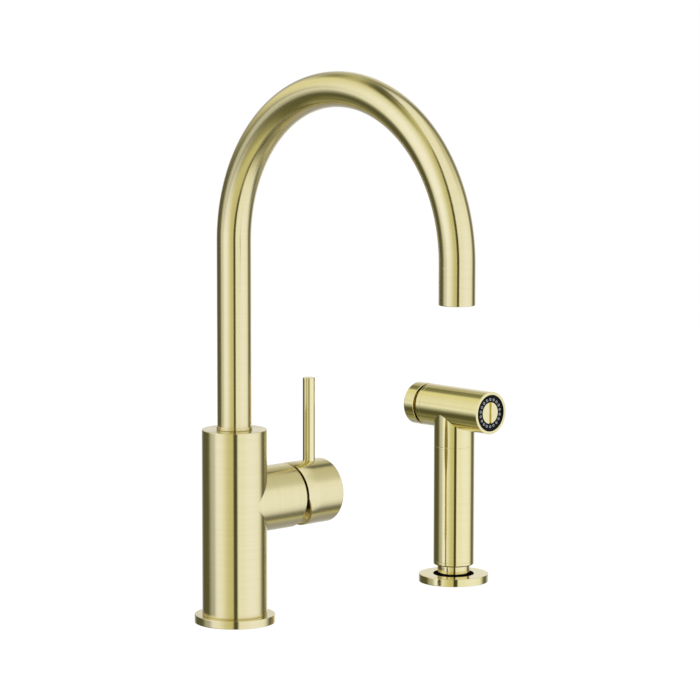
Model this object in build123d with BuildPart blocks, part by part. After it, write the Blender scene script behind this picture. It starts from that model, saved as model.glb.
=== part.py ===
from build123d import *
import os
from math import asin, radians, sin, sqrt, tan

os.makedirs("parts", exist_ok=True)

# A deck-mounted kitchen mixer with a swivel gooseneck spout and a pin lever on its side, and a
# separate pull-up side spray in its own holder. All sizes are in millimetres. The origin is on the
# mixer column's axis in the plane of the worktop, +X runs towards the side handle and the spray,
# -Y towards the user and +Z up.

# ---- clearances -------------------------------------------------------------------------------
turning_gap = 0.05  # between turned faces that rotate or slide in each other, on each side
thread_gap = 0.02  # between a screw thread and its hole, on each side
free_gap = 0.3  # between pieces that move past each other
seat_gap = 0.1  # between a moving piece and the face that it comes to rest on
edge = 0.3  # softening of the visible edges

# ---- worktop ----------------------------------------------------------------------------------
deck_thickness = 30.0
tap_hole_radius = 17.5

# ---- mixer column -----------------------------------------------------------------------------
flange_radius = 26.0
flange_height = 5.2
body_radius = 21.0
body_top = 125.5
cavity_radius = 16.5
cavity_roof = 36.0
register_wall = 1.9  # of the column's foot, that the flange fits round
register_radius = cavity_radius + register_wall
register_depth = 2.4
gasket_inset = 1.2  # from the column's register
gasket_inner = register_radius + gasket_inset
gasket_width = 3.8
gasket_height = 1.6

# ---- spout ------------------------------------------------------------------------------------
spout_radius = 11.0
spout_wall = 1.2
bend_radius = 100.0
bend_height = 247.0
outlet_height = 222.6
sleeve_length = 22.6
collar_radius = 11.5
collar_height = 2.0
spigot_radius = 10.45
spigot_bore = 7.0
spigot_length = 22.0
plug_length = 12.0
bush_wall = 0.75
bush_length = 4.0
seal_section = 0.8  # radius of the section of the spout's sealing rings
seal_heights = (-19.0, -7.5)  # from the column's top
lock_groove_drop = 13.5  # from the column's top to the middle of the locking groove
lock_groove_width = 4.0
lock_groove_depth = 1.25
lock_screw_radius = 2.5
lock_tip_radius = 1.6

# ---- aerator ----------------------------------------------------------------------------------
aerator_radius = 9.25
aerator_length = 9.4
aerator_recess = 1.0
aerator_wall = 1.3
washer_height = 1.6
insert_length = 7.6
insert_hole = 0.9
sleeve_bore = 7.5
sleeve_plug_radius = 9.4
sleeve_plug_length = 6.0

# ---- diverter ---------------------------------------------------------------------------------
diverter_radius = 8.5
diverter_low = 89.5
diverter_high = 103.0
chamber_radius = 5.5
chamber_low = 81.5
diverter_bore = 5.6
diverter_lip = 0.8
diverter_seat = 3.0
diverter_seat_hole = 3.6
piston_height = 3.0
piston_stem = 1.5
piston_head = 4.2
piston_head_height = 1.5
piston_stem_length = 2.6
diverter_wire = 0.4  # radius of the wire

# ---- waterways --------------------------------------------------------------------------------
port_spread = 7.5  # hot and cold ports, from the middle plane
port_x = 0.0
port_drop = 5.0  # cartridge inlets below the handle's axis
mixed_rise = 7.5  # cartridge outlet above the handle's axis
spray_port_inset = 6.5  # from the cavity's wall
spray_port_x = spray_port_inset - cavity_radius
spray_channel_offset = 1.5  # from the diverter's side
spray_channel_x = -diverter_radius - spray_channel_offset
channel_radius = 3.0
tail_radius = 5.0
tail_thread_radius = 4.5
tail_thread_length = 12.0
tail_reach = 40.0  # below the worktop's upper face
tail_bore = 3.2

# ---- fixing under the worktop -----------------------------------------------------------------
stud_radius = 4.0
stud_inset = 4.5  # from the cavity's wall
stud_x = cavity_radius - stud_inset
stud_grip = 14.0
stud_reach = 66.0
clamp_radius = 24.0
clamp_slot_half = 14.0
clamp_slot_margin = 1.3  # beyond the hose tails
clamp_slot_end = port_x + tail_radius + clamp_slot_margin
clamp_corner = 4.0
clamp_rubber = 3.0
clamp_steel = 2.5
nut_across_flats = 13.0
nut_height = 16.0

# ---- side handle ------------------------------------------------------------------------------
handle_z = 77.5
stub_end = 44.5
cap_start = 46.2
cap_end = 76.5
cap_wall = 1.3
cap_cavity_radius = body_radius - cap_wall
relief_margin = 1.0  # degrees of room left at full tilt
tilt_range = 22.0
lever_radius = 4.0
lever_x = 65.0
lever_top = 153.0
lever_thread_radius = 3.0
lever_thread_length = 6.0
lever_foot = 6.5  # above the handle's axis
grub_radius = 2.5
grub_x = 61.0
grub_length = 10.0

# ---- cartridge, along the handle's axis -------------------------------------------------------
seat_x = 15.0
cartridge_bore = 17.6
nut_bore = 18.2
cartridge_radius = 17.5
base_thickness = 4.0
seal_squeeze = 0.3  # base stands this far off its seat on the port seals
port_seal_width = 1.5
port_seal_height = 1.8
locating_pin = 1.4
locating_pin_length = 2.3
locating_pin_place = 12.5
fixed_disc_thickness = 3.5
fixed_disc_radius = 15.7
moving_disc_thickness = 3.5
moving_disc_radius = 11.5
mixing_pocket = (13.0, 6.0)
mixing_pocket_depth = 2.0
carrier_radius = 12.5
carrier_thickness = 5.0
carrier_flat = 10.6
housing_inner = 15.9
rotor_flange = 15.2
rotor_flange_thickness = 2.0
rotor_neck = 10.0
rotor_neck_length = 7.8
ball_radius = 2.5
ball_arm = 7.0  # from the pivot pin to the ball's centre
ball_inset = 1.55  # from the carrier's upper face to the ball's centre
stem_side = 8.0
stem_neck = 1.5
stem_inner = 3.2  # the square begins this far inside the pivot
pivot_pin_radius = 1.5
retainer_length = 6.9
retainer_bore = 11.5
dome_radius = 17.9
dome_wall = 1.2
dome_hole = 11.5
dome_skirt = 16.2
dome_seat = 2.4

# ---- side spray: holder -----------------------------------------------------------------------
spray_x = 200.0
holder_radius = 23.75
holder_height = 5.2
shank_radius = 15.9
shank_length = 45.0
shank_bore = 13.0
bush_lip_radius = 13.85
bush_lip_depth = 2.5
bush_lip_proud = 0.4
bush_reach = 22.0
holder_gasket_inner = 18.4
holder_gasket_width = 3.2
holder_washer = 2.0
holder_washer_radius = 24.0
holder_nut = 8.0
holder_nut_flats = 42.0

# ---- side spray: hose connector ---------------------------------------------------------------
neck_radius = 11.0
neck_top = 11.3
cone_high = -18.0
cone_low = -30.0
cone_foot = 8.0
hose_thread = 6.6
hose_thread_length = 12.0
hose_bore = 4.5
swivel_radius = 8.0
swivel_length = 20.7
swivel_seal = 0.7  # radius of the section of the swivel's sealing ring
swivel_seal_drop = 6.0  # from the swivel's top
clip_height = 16.7
clip_thickness = 1.2
clip_depth = 0.75
clip_width = 1.65
clip_opening = 50.0

# ---- side spray: handset ----------------------------------------------------------------------
grip_radius = 13.85
grip_wall = 1.5
grip_low = 11.6
collar_line = 14.0
grip_high = 93.6
collar_chamfer = 0.7
collar_sleeve_top = 38.0
water_tube_radius = 6.0
water_tube_socket = 4.0
head_radius = 14.35
head_z = 119.5
head_front = -34.5
head_back = 20.2
head_spigot = 9.6
face_bore = 12.45
face_depth = 10.5
chamber_depth = 12.0
front_chamber = 9.0
seat_bore = 7.0
seat_length = 4.0
seat_hole = 4.6
inlet_chamber = 6.5
inlet_length = 10.0
cylinder_radius = 5.1
cylinder_length = 8.0
pocket_radius = 9.0
pocket_length = 4.0
ring_thread = 12.0

# ---- side spray: push button ------------------------------------------------------------------
ring_end = 23.5
button_front = 25.85
button_back = 34.8
press_travel = 2.0
sleeve_radius = 10.0
sleeve_lip = 11.0
sleeve_lip_thickness = 2.0
sleeve_inner = 7.5
sleeve_plate = 3.0
ring_shoulder = 19.0
plunger_head = 6.0
plunger_head_thickness = 2.0
plunger_stem = 2.2
piston_radius = 5.0
plunger_piston_length = 6.0
piston_seal = 0.65  # radius of the section of the piston's sealing ring
rod_radius = 3.0
rod_thread = 2.0
rod_thread_length = 5.65
seat_seal_thickness = 0.9
trigger_wire = 0.5  # radius of the wire
trigger_coil = 6.4
trigger_turns = 6

# ---- side spray: face -------------------------------------------------------------------------
flow_disc_thickness = 3.4
flow_boss_radius = 3.5
flow_boss_length = 5.6
flow_hole = 1.6
flow_hole_circle = 6.8
flow_groove_inner = 5.0
flow_groove_outer = 11.0
flow_groove_depth = 1.2
mat_thickness = 1.5
plate_inset = 0.7  # the plate's face lies this far behind the head's rim
plate_thickness = 4.8
nozzle_count = 18
nozzle_circle = 9.25
nozzle_radius = 0.95
nozzle_hole = 0.35
nozzle_proud = 0.4
ridge_radius = 11.15
ridge_width = 0.4
ridge_height = 0.25
disc_radius = 7.3
disc_thickness = 2.5
disc_proud = 0.3
disc_slot = 1.6
disc_slot_depth = 1.2
face_screw_radius = 1.6
face_screw_length = 11.0

# ---- planes and axes --------------------------------------------------------------------------
# On each section plane the first coordinate is the radius and the second runs along the axis.
column_section = Plane.XZ
column_axis = Axis.Z
handle_section = Plane(origin=(0, 0, handle_z), x_dir=(0, 0, 1), z_dir=(0, 1, 0))
handle_axis = Axis((0, 0, handle_z), (1, 0, 0))
lever_section = Plane(origin=(lever_x, 0, 0), x_dir=(1, 0, 0), z_dir=(0, -1, 0))
lever_axis = Axis((lever_x, 0, 0), (0, 0, 1))
spout_end_section = Plane(origin=(0, -2 * bend_radius, 0), x_dir=(1, 0, 0), z_dir=(0, -1, 0))
spout_end_axis = Axis((0, -2 * bend_radius, 0), (0, 0, 1))
spray_section = Plane(origin=(spray_x, 0, 0), x_dir=(1, 0, 0), z_dir=(0, -1, 0))
spray_axis = Axis((spray_x, 0, 0), (0, 0, 1))
head_section = Plane(origin=(spray_x, 0, head_z), x_dir=(0, 0, 1), z_dir=(-1, 0, 0))
head_axis = Axis((spray_x, 0, head_z), (0, 1, 0))


def ring(inner, outer, low, high):
    """Corners of a ring's section, between two radii and two places along its axis."""
    return [(inner, low), (outer, low), (outer, high), (inner, high)]


def across_handle(x):
    """Plane across the handle's axis: Y to its right, Z up, facing +X."""
    return Plane(origin=(x, 0, handle_z), x_dir=(0, 1, 0), z_dir=(1, 0, 0))


def across_head(y):
    """Plane across the spray head's axis: X to its right, Z up, facing the user."""
    return Plane(origin=(spray_x, y, head_z), x_dir=(1, 0, 0), z_dir=(0, -1, 0))


def across_spray(z):
    """Level plane on the spray's upright axis."""
    return Plane(origin=(spray_x, 0, z), x_dir=(1, 0, 0), z_dir=(0, 0, 1))


# ================================================================================================
# Mixer column
# ================================================================================================

register_low = flange_height - register_depth
gasket_outer = gasket_inner + gasket_width

# Base flange: a trim ring on the worktop that centres the column, with a groove for its gasket
with BuildPart() as base_flange:
    with BuildSketch(column_section):
        Polygon(*ring(cavity_radius, flange_radius, 0, flange_height))
        Polygon(
            *ring(cavity_radius, register_radius + seat_gap, register_low, flange_height),
            mode=Mode.SUBTRACT,
        )
        Polygon(
            *ring(gasket_inner - seat_gap, gasket_outer + seat_gap, 0, gasket_height),
            mode=Mode.SUBTRACT,
        )
    revolve(axis=column_axis)
    flange_rim = base_flange.edges().filter_by(GeomType.CIRCLE).sort_by(SortBy.RADIUS)
    chamfer(flange_rim.group_by(SortBy.RADIUS)[-1], length=edge / 2)
base_flange.part.label = "base_flange"
export_step(base_flange.part, "parts/base_flange.step")

# Base gasket: rubber ring in the flange's groove, level with the worktop
with BuildPart() as base_gasket:
    with BuildSketch(column_section):
        Polygon(*ring(gasket_inner, gasket_outer, 0, gasket_height))
    revolve(axis=column_axis)
base_gasket.part.label = "base_gasket"
export_step(base_gasket.part, "parts/base_gasket.step")

# Mixer body: the column and the side barrel in one casting, bored for the spout's spigot, the
# diverter, the cartridge, the waterways, the hose tails and the fixing stud
bush_radius = spigot_radius + turning_gap + bush_wall
spigot_hole = spigot_radius + 2 * turning_gap
bush_floor = body_top - bush_length
lock_height = body_top - lock_groove_drop
inlet_z = handle_z - port_drop
mixed_z = handle_z + mixed_rise
housing_high = stub_end - retainer_length - 0.6
with BuildPart() as mixer_body:
    with BuildSketch(column_section):
        Polygon(
            (cavity_radius, register_low),
            (register_radius, register_low),
            (register_radius, flange_height),
            (body_radius, flange_height),
            (body_radius, body_top),
            (0, body_top),
            (0, cavity_roof),
            (cavity_radius, cavity_roof),
        )
    revolve(axis=column_axis)
    with BuildSketch(across_handle(0)):
        Circle(body_radius)
    extrude(amount=stub_end)
    rims = mixer_body.edges().filter_by(GeomType.CIRCLE)
    fillet(rims.group_by(Axis.Z)[-1] + rims.group_by(Axis.X)[-1], radius=edge)
    # stepped bore for the mixing chamber, diverter, spigot and swivel bush
    with BuildSketch(column_section):
        Polygon(
            (0, chamber_low),
            (chamber_radius, chamber_low),
            (chamber_radius, diverter_low),
            (diverter_radius, diverter_low),
            (diverter_radius, diverter_high),
            (spigot_hole, diverter_high),
            (spigot_hole, bush_floor),
            (bush_radius, bush_floor),
            (bush_radius, body_top),
            (0, body_top),
        )
    revolve(axis=column_axis, mode=Mode.SUBTRACT)
    # stepped bore for the cartridge and its retaining nut
    with BuildSketch(handle_section):
        Polygon(
            (0, seat_x),
            (cartridge_bore, seat_x),
            (cartridge_bore, housing_high),
            (nut_bore, housing_high),
            (nut_bore, stub_end),
            (0, stub_end),
        )
    revolve(axis=handle_axis, mode=Mode.SUBTRACT)
    # threaded ports for the hose tails, and the stud's hole
    with BuildSketch(Plane.XY.offset(cavity_roof)):
        with Locations((port_x, -port_spread), (port_x, port_spread), (spray_port_x, 0)):
            Circle(tail_thread_radius + thread_gap)
    extrude(amount=tail_thread_length, mode=Mode.SUBTRACT)
    with BuildSketch(Plane.XY.offset(cavity_roof)):
        with Locations((stud_x, 0)):
            Circle(stud_radius + thread_gap)
    extrude(amount=stud_grip, mode=Mode.SUBTRACT)
    # rising channels: hot and cold to the cartridge, and the diverter's to the side spray
    with BuildSketch(Plane.XY.offset(cavity_roof)):
        with Locations((port_x, -port_spread), (port_x, port_spread)):
            Circle(channel_radius)
    extrude(amount=inlet_z + channel_radius - cavity_roof, mode=Mode.SUBTRACT)
    port_roof = cavity_roof + tail_thread_length
    with BuildSketch(Plane.XY.offset(port_roof)):
        with Locations((spray_channel_x, 0)):
            Circle(channel_radius)
    extrude(amount=diverter_low + 2 * channel_radius - 1 - port_roof, mode=Mode.SUBTRACT)
    # level channels into the cartridge's seat
    with BuildSketch(across_handle(seat_x)):
        with Locations((-port_spread, -port_drop), (port_spread, -port_drop)):
            Circle(channel_radius)
    extrude(amount=port_x - seat_x, mode=Mode.SUBTRACT)
    with BuildSketch(across_handle(seat_x)):
        with Locations((0, mixed_rise)):
            Circle(channel_radius)
    extrude(amount=-seat_x, mode=Mode.SUBTRACT)
    # blind holes for the cartridge's locating pins
    with BuildSketch(across_handle(seat_x)):
        with Locations((0, -locating_pin_place)):
            Circle(locating_pin + seat_gap)
    extrude(amount=-locating_pin_length, mode=Mode.SUBTRACT)
    # the locking screw's hole at the back
    with BuildSketch(Plane(origin=(0, body_radius, lock_height), x_dir=(1, 0, 0), z_dir=(0, 1, 0))):
        Circle(lock_screw_radius + thread_gap)
    extrude(amount=-body_radius, mode=Mode.SUBTRACT)
mixer_body.part.label = "mixer_body"
export_step(mixer_body.part, "parts/mixer_body.step")

# Hose tails: short tubes screwed into the body, for the hot, cold and spray hoses
tail_top = cavity_roof + tail_thread_length


def tail_profile():
    """Section of a hose tail: threaded top, plain tube below and a bore through it."""
    return [
        (tail_bore, -tail_reach),
        (tail_radius, -tail_reach),
        (tail_radius, cavity_roof),
        (tail_thread_radius, cavity_roof),
        (tail_thread_radius, tail_top),
        (tail_bore, tail_top),
    ]


with BuildPart() as supply_tails:
    for side in (-1, 1):
        tail_plane = Plane(
            origin=(port_x, side * port_spread, 0), x_dir=(1, 0, 0), z_dir=(0, -1, 0)
        )
        with BuildSketch(tail_plane):
            Polygon(*tail_profile())
        revolve(axis=Axis((port_x, side * port_spread, 0), (0, 0, 1)))
supply_tails.part.label = "supply_tails"
export_step(supply_tails.part, "parts/supply_tails.step")

with BuildPart() as spray_hose_tail:
    with BuildSketch(Plane(origin=(spray_port_x, 0, 0), x_dir=(1, 0, 0), z_dir=(0, -1, 0))):
        Polygon(*tail_profile())
    revolve(axis=Axis((spray_port_x, 0, 0), (0, 0, 1)))
spray_hose_tail.part.label = "spray_hose_tail"
export_step(spray_hose_tail.part, "parts/spray_hose_tail.step")

# ================================================================================================
# Fixing under the worktop
# ================================================================================================

plate_top = -deck_thickness - clamp_rubber
plate_low = plate_top - clamp_steel

# Mounting stud, with a screwdriver slot in its free end
with BuildPart() as mounting_stud:
    with BuildSketch(Plane.XY.offset(-stud_reach)):
        with Locations((stud_x, 0)):
            Circle(stud_radius)
    extrude(amount=stud_reach + cavity_roof + stud_grip)
    with BuildSketch(Plane.XY.offset(-stud_reach)):
        with Locations((stud_x, 0)):
            Rectangle(2 * stud_radius + 1, 1.2)
    extrude(amount=1.5, mode=Mode.SUBTRACT)
mounting_stud.part.label = "mounting_stud"
export_step(mounting_stud.part, "parts/mounting_stud.step")


def horseshoe(stud_hole):
    """Horseshoe outline: a disc with a slot that lets the hoses in, and a hole for the stud."""
    slot_length = clamp_radius + clamp_slot_end + clamp_corner
    with BuildSketch(Plane.XY) as outline:
        Circle(clamp_radius)
        with Locations((clamp_slot_end - slot_length / 2, 0)):
            RectangleRounded(slot_length, 2 * clamp_slot_half, clamp_corner, mode=Mode.SUBTRACT)
        with Locations((stud_x, 0)):
            Circle(stud_hole, mode=Mode.SUBTRACT)
    return outline.sketch


# Clamp gasket: rubber horseshoe against the worktop's underside
with BuildPart() as clamp_gasket:
    with BuildSketch(Plane.XY.offset(plate_top)):
        add(horseshoe(stud_radius + seat_gap))
    extrude(amount=clamp_rubber)
clamp_gasket.part.label = "clamp_gasket"
export_step(clamp_gasket.part, "parts/clamp_gasket.step")

# Clamp plate: the steel horseshoe behind it
with BuildPart() as clamp_plate:
    with BuildSketch(Plane.XY.offset(plate_low)):
        add(horseshoe(stud_radius + seat_gap))
    extrude(amount=clamp_steel)
clamp_plate.part.label = "clamp_plate"
export_step(clamp_plate.part, "parts/clamp_plate.step")

# Stud nut: long hexagon nut that draws the clamp up
with BuildPart() as stud_nut:
    with BuildSketch(Plane.XY.offset(plate_low)):
        with Locations((stud_x, 0)):
            RegularPolygon(nut_across_flats / 2, 6, major_radius=False)
            Circle(stud_radius + thread_gap, mode=Mode.SUBTRACT)
    extrude(amount=-nut_height)
stud_nut.part.label = "stud_nut"
export_step(stud_nut.part, "parts/stud_nut.step")

# ================================================================================================
# Spout
# ================================================================================================

collar_low = body_top + seat_gap
tube_foot = collar_low + collar_height
tube_bore = spout_radius - spout_wall
plug_radius = tube_bore - turning_gap
spigot_low = body_top - spigot_length
seal_centre = spigot_radius + turning_gap / 2 - seal_section
groove_half = seal_section + seat_gap
groove_floor = seal_centre - seal_section - turning_gap / 2
lock_floor = spigot_radius - lock_groove_depth

# Spout spigot: turns in the column, carries the trim collar and plugs into the tube
with BuildPart() as spout_spigot:
    with BuildSketch(column_section):
        Polygon(*ring(spigot_bore, spigot_radius, spigot_low, collar_low))
        Polygon(*ring(spigot_bore, collar_radius, collar_low, tube_foot))
        Polygon(*ring(spigot_bore, plug_radius, tube_foot, tube_foot + plug_length))
        for drop in seal_heights:
            level = body_top + drop
            Polygon(
                *ring(groove_floor, spigot_radius + 1, level - groove_half, level + groove_half),
                mode=Mode.SUBTRACT,
            )
        Polygon(
            *ring(
                lock_floor,
                spigot_radius + 1,
                lock_height - lock_groove_width / 2,
                lock_height + lock_groove_width / 2,
            ),
            mode=Mode.SUBTRACT,
        )
    revolve(axis=column_axis)
spout_spigot.part.label = "spout_spigot"
export_step(spout_spigot.part, "parts/spout_spigot.step")

# Spout seals: two sealing rings in the spigot's grooves
with BuildPart() as spout_seals:
    for drop in seal_heights:
        with BuildSketch(column_section):
            with Locations((seal_centre, body_top + drop)):
                Circle(seal_section)
        revolve(axis=column_axis)
spout_seals.part.label = "spout_seals"
export_step(spout_seals.part, "parts/spout_seals.step")

# Swivel bush: plastic glide ring in the mouth of the column, under the collar
with BuildPart() as swivel_bush:
    with BuildSketch(column_section):
        Polygon(
            *ring(spigot_radius + turning_gap, bush_radius, bush_floor, body_top - turning_gap)
        )
    revolve(axis=column_axis)
swivel_bush.part.label = "swivel_bush"
export_step(swivel_bush.part, "parts/swivel_bush.step")

# Spout lock screw: headless screw from the back, its tip in the spigot's groove
lock_tip_end = lock_floor + free_gap
lock_screw_end = body_radius - 1.5
lock_shoulder = spigot_hole + free_gap
with BuildPart() as spout_lock_screw:
    lock_plane = Plane(origin=(0, 0, lock_height), x_dir=(1, 0, 0), z_dir=(0, 0, 1))
    with BuildSketch(lock_plane):
        Polygon(
            (0, lock_tip_end),
            (lock_tip_radius, lock_tip_end),
            (lock_tip_radius, lock_shoulder),
            (lock_screw_radius, lock_shoulder),
            (lock_screw_radius, lock_screw_end),
            (0, lock_screw_end),
        )
    revolve(axis=Axis((0, 0, lock_height), (0, 1, 0)))
    with BuildSketch(
        Plane(origin=(0, lock_screw_end, lock_height), x_dir=(1, 0, 0), z_dir=(0, 1, 0))
    ):
        RegularPolygon(1.25, 6, major_radius=False)
    extrude(amount=-2.5, mode=Mode.SUBTRACT)
spout_lock_screw.part.label = "spout_lock_screw"
export_step(spout_lock_screw.part, "parts/spout_lock_screw.step")

# Spout tube: straight riser, half-round bend towards the user and a short drop
sleeve_top = outlet_height + sleeve_length
with BuildPart() as spout_tube:
    with BuildLine(Plane.YZ):
        Line((0, tube_foot), (0, bend_height))
        ThreePointArc(
            (0, bend_height), (-bend_radius, bend_height + bend_radius), (-2 * bend_radius, bend_height)
        )
        Line((-2 * bend_radius, bend_height), (-2 * bend_radius, sleeve_top))
    with BuildSketch(Plane.XY.offset(tube_foot)):
        Circle(spout_radius)
        Circle(tube_bore, mode=Mode.SUBTRACT)
    sweep()
spout_tube.part.label = "spout_tube"
export_step(spout_tube.part, "parts/spout_tube.step")

# Outlet sleeve: end piece of the same diameter, bored for the aerator
aerator_hole = aerator_radius + turning_gap
aerator_low = outlet_height + aerator_recess
washer_low = aerator_low + aerator_length
washer_high = washer_low + washer_height
with BuildPart() as outlet_sleeve:
    with BuildSketch(spout_end_section):
        Polygon(
            (aerator_hole, outlet_height),
            (spout_radius, outlet_height),
            (spout_radius, sleeve_top),
            (sleeve_plug_radius, sleeve_top),
            (sleeve_plug_radius, sleeve_top + sleeve_plug_length),
            (sleeve_bore, sleeve_top + sleeve_plug_length),
            (sleeve_bore, washer_high),
            (aerator_hole, washer_high),
        )
    revolve(axis=spout_end_axis)
    mouth = outlet_sleeve.edges().filter_by(GeomType.CIRCLE).group_by(Axis.Z)[0]
    chamfer(mouth.sort_by(SortBy.RADIUS)[-1], length=edge / 2)
outlet_sleeve.part.label = "outlet_sleeve"
export_step(outlet_sleeve.part, "parts/outlet_sleeve.step")

# Aerator housing: recessed threaded cup at the outlet
with BuildPart() as aerator_housing:
    with BuildSketch(spout_end_section):
        Polygon(
            *ring(aerator_radius - aerator_wall, aerator_radius, aerator_low, washer_low)
        )
    revolve(axis=spout_end_axis)
aerator_housing.part.label = "aerator_housing"
export_step(aerator_housing.part, "parts/aerator_housing.step")

# Aerator insert: perforated disc that mixes air into the stream
insert_radius = aerator_radius - aerator_wall
with BuildPart() as aerator_insert:
    with BuildSketch(Plane.XY.offset(aerator_low + 0.6)):
        with Locations((0, -2 * bend_radius)):
            Circle(insert_radius)
            Circle(insert_hole, mode=Mode.SUBTRACT)
            with PolarLocations(0.38 * insert_radius, 6):
                Circle(insert_hole, mode=Mode.SUBTRACT)
            with PolarLocations(0.74 * insert_radius, 12):
                Circle(insert_hole, mode=Mode.SUBTRACT)
    extrude(amount=insert_length)
aerator_insert.part.label = "aerator_insert"
export_step(aerator_insert.part, "parts/aerator_insert.step")

# Aerator washer: rubber ring between the aerator and the sleeve's shoulder
with BuildPart() as aerator_washer:
    with BuildSketch(spout_end_section):
        Polygon(*ring(sleeve_bore, aerator_radius, washer_low, washer_high))
    revolve(axis=spout_end_axis)
aerator_washer.part.label = "aerator_washer"
export_step(aerator_washer.part, "parts/aerator_washer.step")

# ================================================================================================
# Diverter: sends the water to the side spray when its button is pressed
# ================================================================================================

diverter_outer = diverter_radius - turning_gap
seat_underside = diverter_high - diverter_seat
piston_low = diverter_low + diverter_lip + seat_gap
piston_top = piston_low + piston_height
piston_radius_low = diverter_bore - 4 * turning_gap
head_low = piston_top + piston_stem_length
diverter_travel = seat_underside - free_gap - (head_low + piston_head_height)

# Diverter housing: sleeve with a lip below, a valve seat above and a port to the spray's channel
with BuildPart() as diverter_housing:
    with BuildSketch(column_section):
        Polygon(*ring(diverter_bore, diverter_outer, diverter_low, diverter_high))
        Polygon(
            *ring(diverter_bore - diverter_lip, diverter_outer, diverter_low, diverter_low + diverter_lip)
        )
        Polygon(*ring(diverter_seat_hole, diverter_outer, seat_underside, diverter_high))
    revolve(axis=column_axis)
    port_level = diverter_low + channel_radius
    with BuildSketch(Plane(origin=(0, 0, port_level), x_dir=(0, -1, 0), z_dir=(-1, 0, 0))):
        Circle(channel_radius / 2)
    extrude(amount=diverter_radius, mode=Mode.SUBTRACT)
diverter_housing.part.label = "diverter_housing"
export_step(diverter_housing.part, "parts/diverter_housing.step")

# Diverter piston: perforated disc with a stem and a valve head
with BuildPart() as diverter_piston:
    with BuildSketch(column_section):
        Polygon(
            (0, piston_low),
            (piston_radius_low, piston_low),
            (piston_radius_low, piston_top),
            (piston_stem, piston_top),
            (piston_stem, head_low),
            (piston_head, head_low),
            (piston_head, head_low + piston_head_height),
            (0, head_low + piston_head_height),
        )
    revolve(axis=column_axis)
    with BuildSketch(Plane.XY.offset(piston_low)):
        with PolarLocations((piston_stem + piston_radius_low) / 2, 6):
            Circle(0.8)
    extrude(amount=piston_height, mode=Mode.SUBTRACT)
diverter_piston.part.label = "diverter_piston"
export_step(diverter_piston.part, "parts/diverter_piston.step")

# Diverter spring: round the stem, between the piston and the seat
diverter_coil = (piston_radius_low + piston_head) / 2
spring_low = piston_top + diverter_wire + seat_gap
spring_high = seat_underside - diverter_wire - seat_gap
with BuildPart() as diverter_spring:
    with BuildLine() as diverter_helix:
        Helix(
            pitch=(spring_high - spring_low) / 4,
            height=spring_high - spring_low,
            radius=diverter_coil,
            center=(0, 0, spring_low),
        )
    with BuildSketch(Plane(origin=diverter_helix.line @ 0, z_dir=diverter_helix.line % 0)):
        Circle(diverter_wire)
    sweep(path=diverter_helix.line, is_frenet=True)
diverter_spring.part.label = "diverter_spring"
export_step(diverter_spring.part, "parts/diverter_spring.step")

# ================================================================================================
# Mixing cartridge, from its seat outwards
# ================================================================================================

base_low = seat_x + seal_squeeze
base_high = base_low + base_thickness
fixed_high = base_high + fixed_disc_thickness
moving_low = fixed_high + turning_gap
moving_high = moving_low + moving_disc_thickness
carrier_high = moving_high + carrier_thickness
ball_x = carrier_high - ball_inset
pivot_x = ball_x + ball_arm
rotor_low = carrier_high + free_gap
rotor_shoulder = rotor_low + rotor_flange_thickness
housing_ceiling = rotor_shoulder + free_gap
rotor_high = rotor_shoulder + rotor_neck_length
stroke = ball_arm * radians(tilt_range)
ports = [(-port_spread, -port_drop), (port_spread, -port_drop), (0, mixed_rise)]
port_seal_outer = channel_radius + port_seal_width

# Cartridge base: plastic disc with three ports, seal seats and a locating pin
with BuildPart() as cartridge_base:
    with BuildSketch(across_handle(base_low)):
        Circle(cartridge_radius)
        with Locations(*ports):
            Circle(channel_radius, mode=Mode.SUBTRACT)
    extrude(amount=base_thickness)
    with BuildSketch(across_handle(base_low)):
        with Locations(*ports):
            Circle(port_seal_outer + turning_gap)
    extrude(amount=port_seal_height - seal_squeeze, mode=Mode.SUBTRACT)
    with BuildSketch(across_handle(base_low)):
        with Locations((0, -locating_pin_place)):
            Circle(locating_pin)
    extrude(amount=-locating_pin_length)
cartridge_base.part.label = "cartridge_base"
export_step(cartridge_base.part, "parts/cartridge_base.step")

# Port seals: three rubber rings between the cartridge and its seat
with BuildPart() as port_seals:
    with BuildSketch(across_handle(seat_x)):
        with Locations(*ports):
            Circle(port_seal_outer)
            Circle(channel_radius, mode=Mode.SUBTRACT)
    extrude(amount=port_seal_height)
port_seals.part.label = "port_seals"
export_step(port_seals.part, "parts/port_seals.step")

# Fixed disc: ceramic, with the three ports
with BuildPart() as fixed_disc:
    with BuildSketch(across_handle(base_high)):
        Circle(fixed_disc_radius)
        with Locations(*ports):
            Circle(channel_radius, mode=Mode.SUBTRACT)
    extrude(amount=fixed_disc_thickness)
fixed_disc.part.label = "fixed_disc"
export_step(fixed_disc.part, "parts/fixed_disc.step")

# Moving disc: ceramic, with the mixing pocket on its underside, shown with the water shut off
with BuildPart() as moving_disc:
    with BuildSketch(across_handle(moving_low)):
        with Locations((0, -stroke / 2)):
            Circle(moving_disc_radius)
    extrude(amount=moving_disc_thickness)
    with BuildSketch(across_handle(moving_low)):
        with Locations((0, -stroke / 2)):
            SlotOverall(*mixing_pocket, rotation=90)
    extrude(amount=mixing_pocket_depth, mode=Mode.SUBTRACT)
moving_disc.part.label = "moving_disc"
export_step(moving_disc.part, "parts/moving_disc.step")

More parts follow.
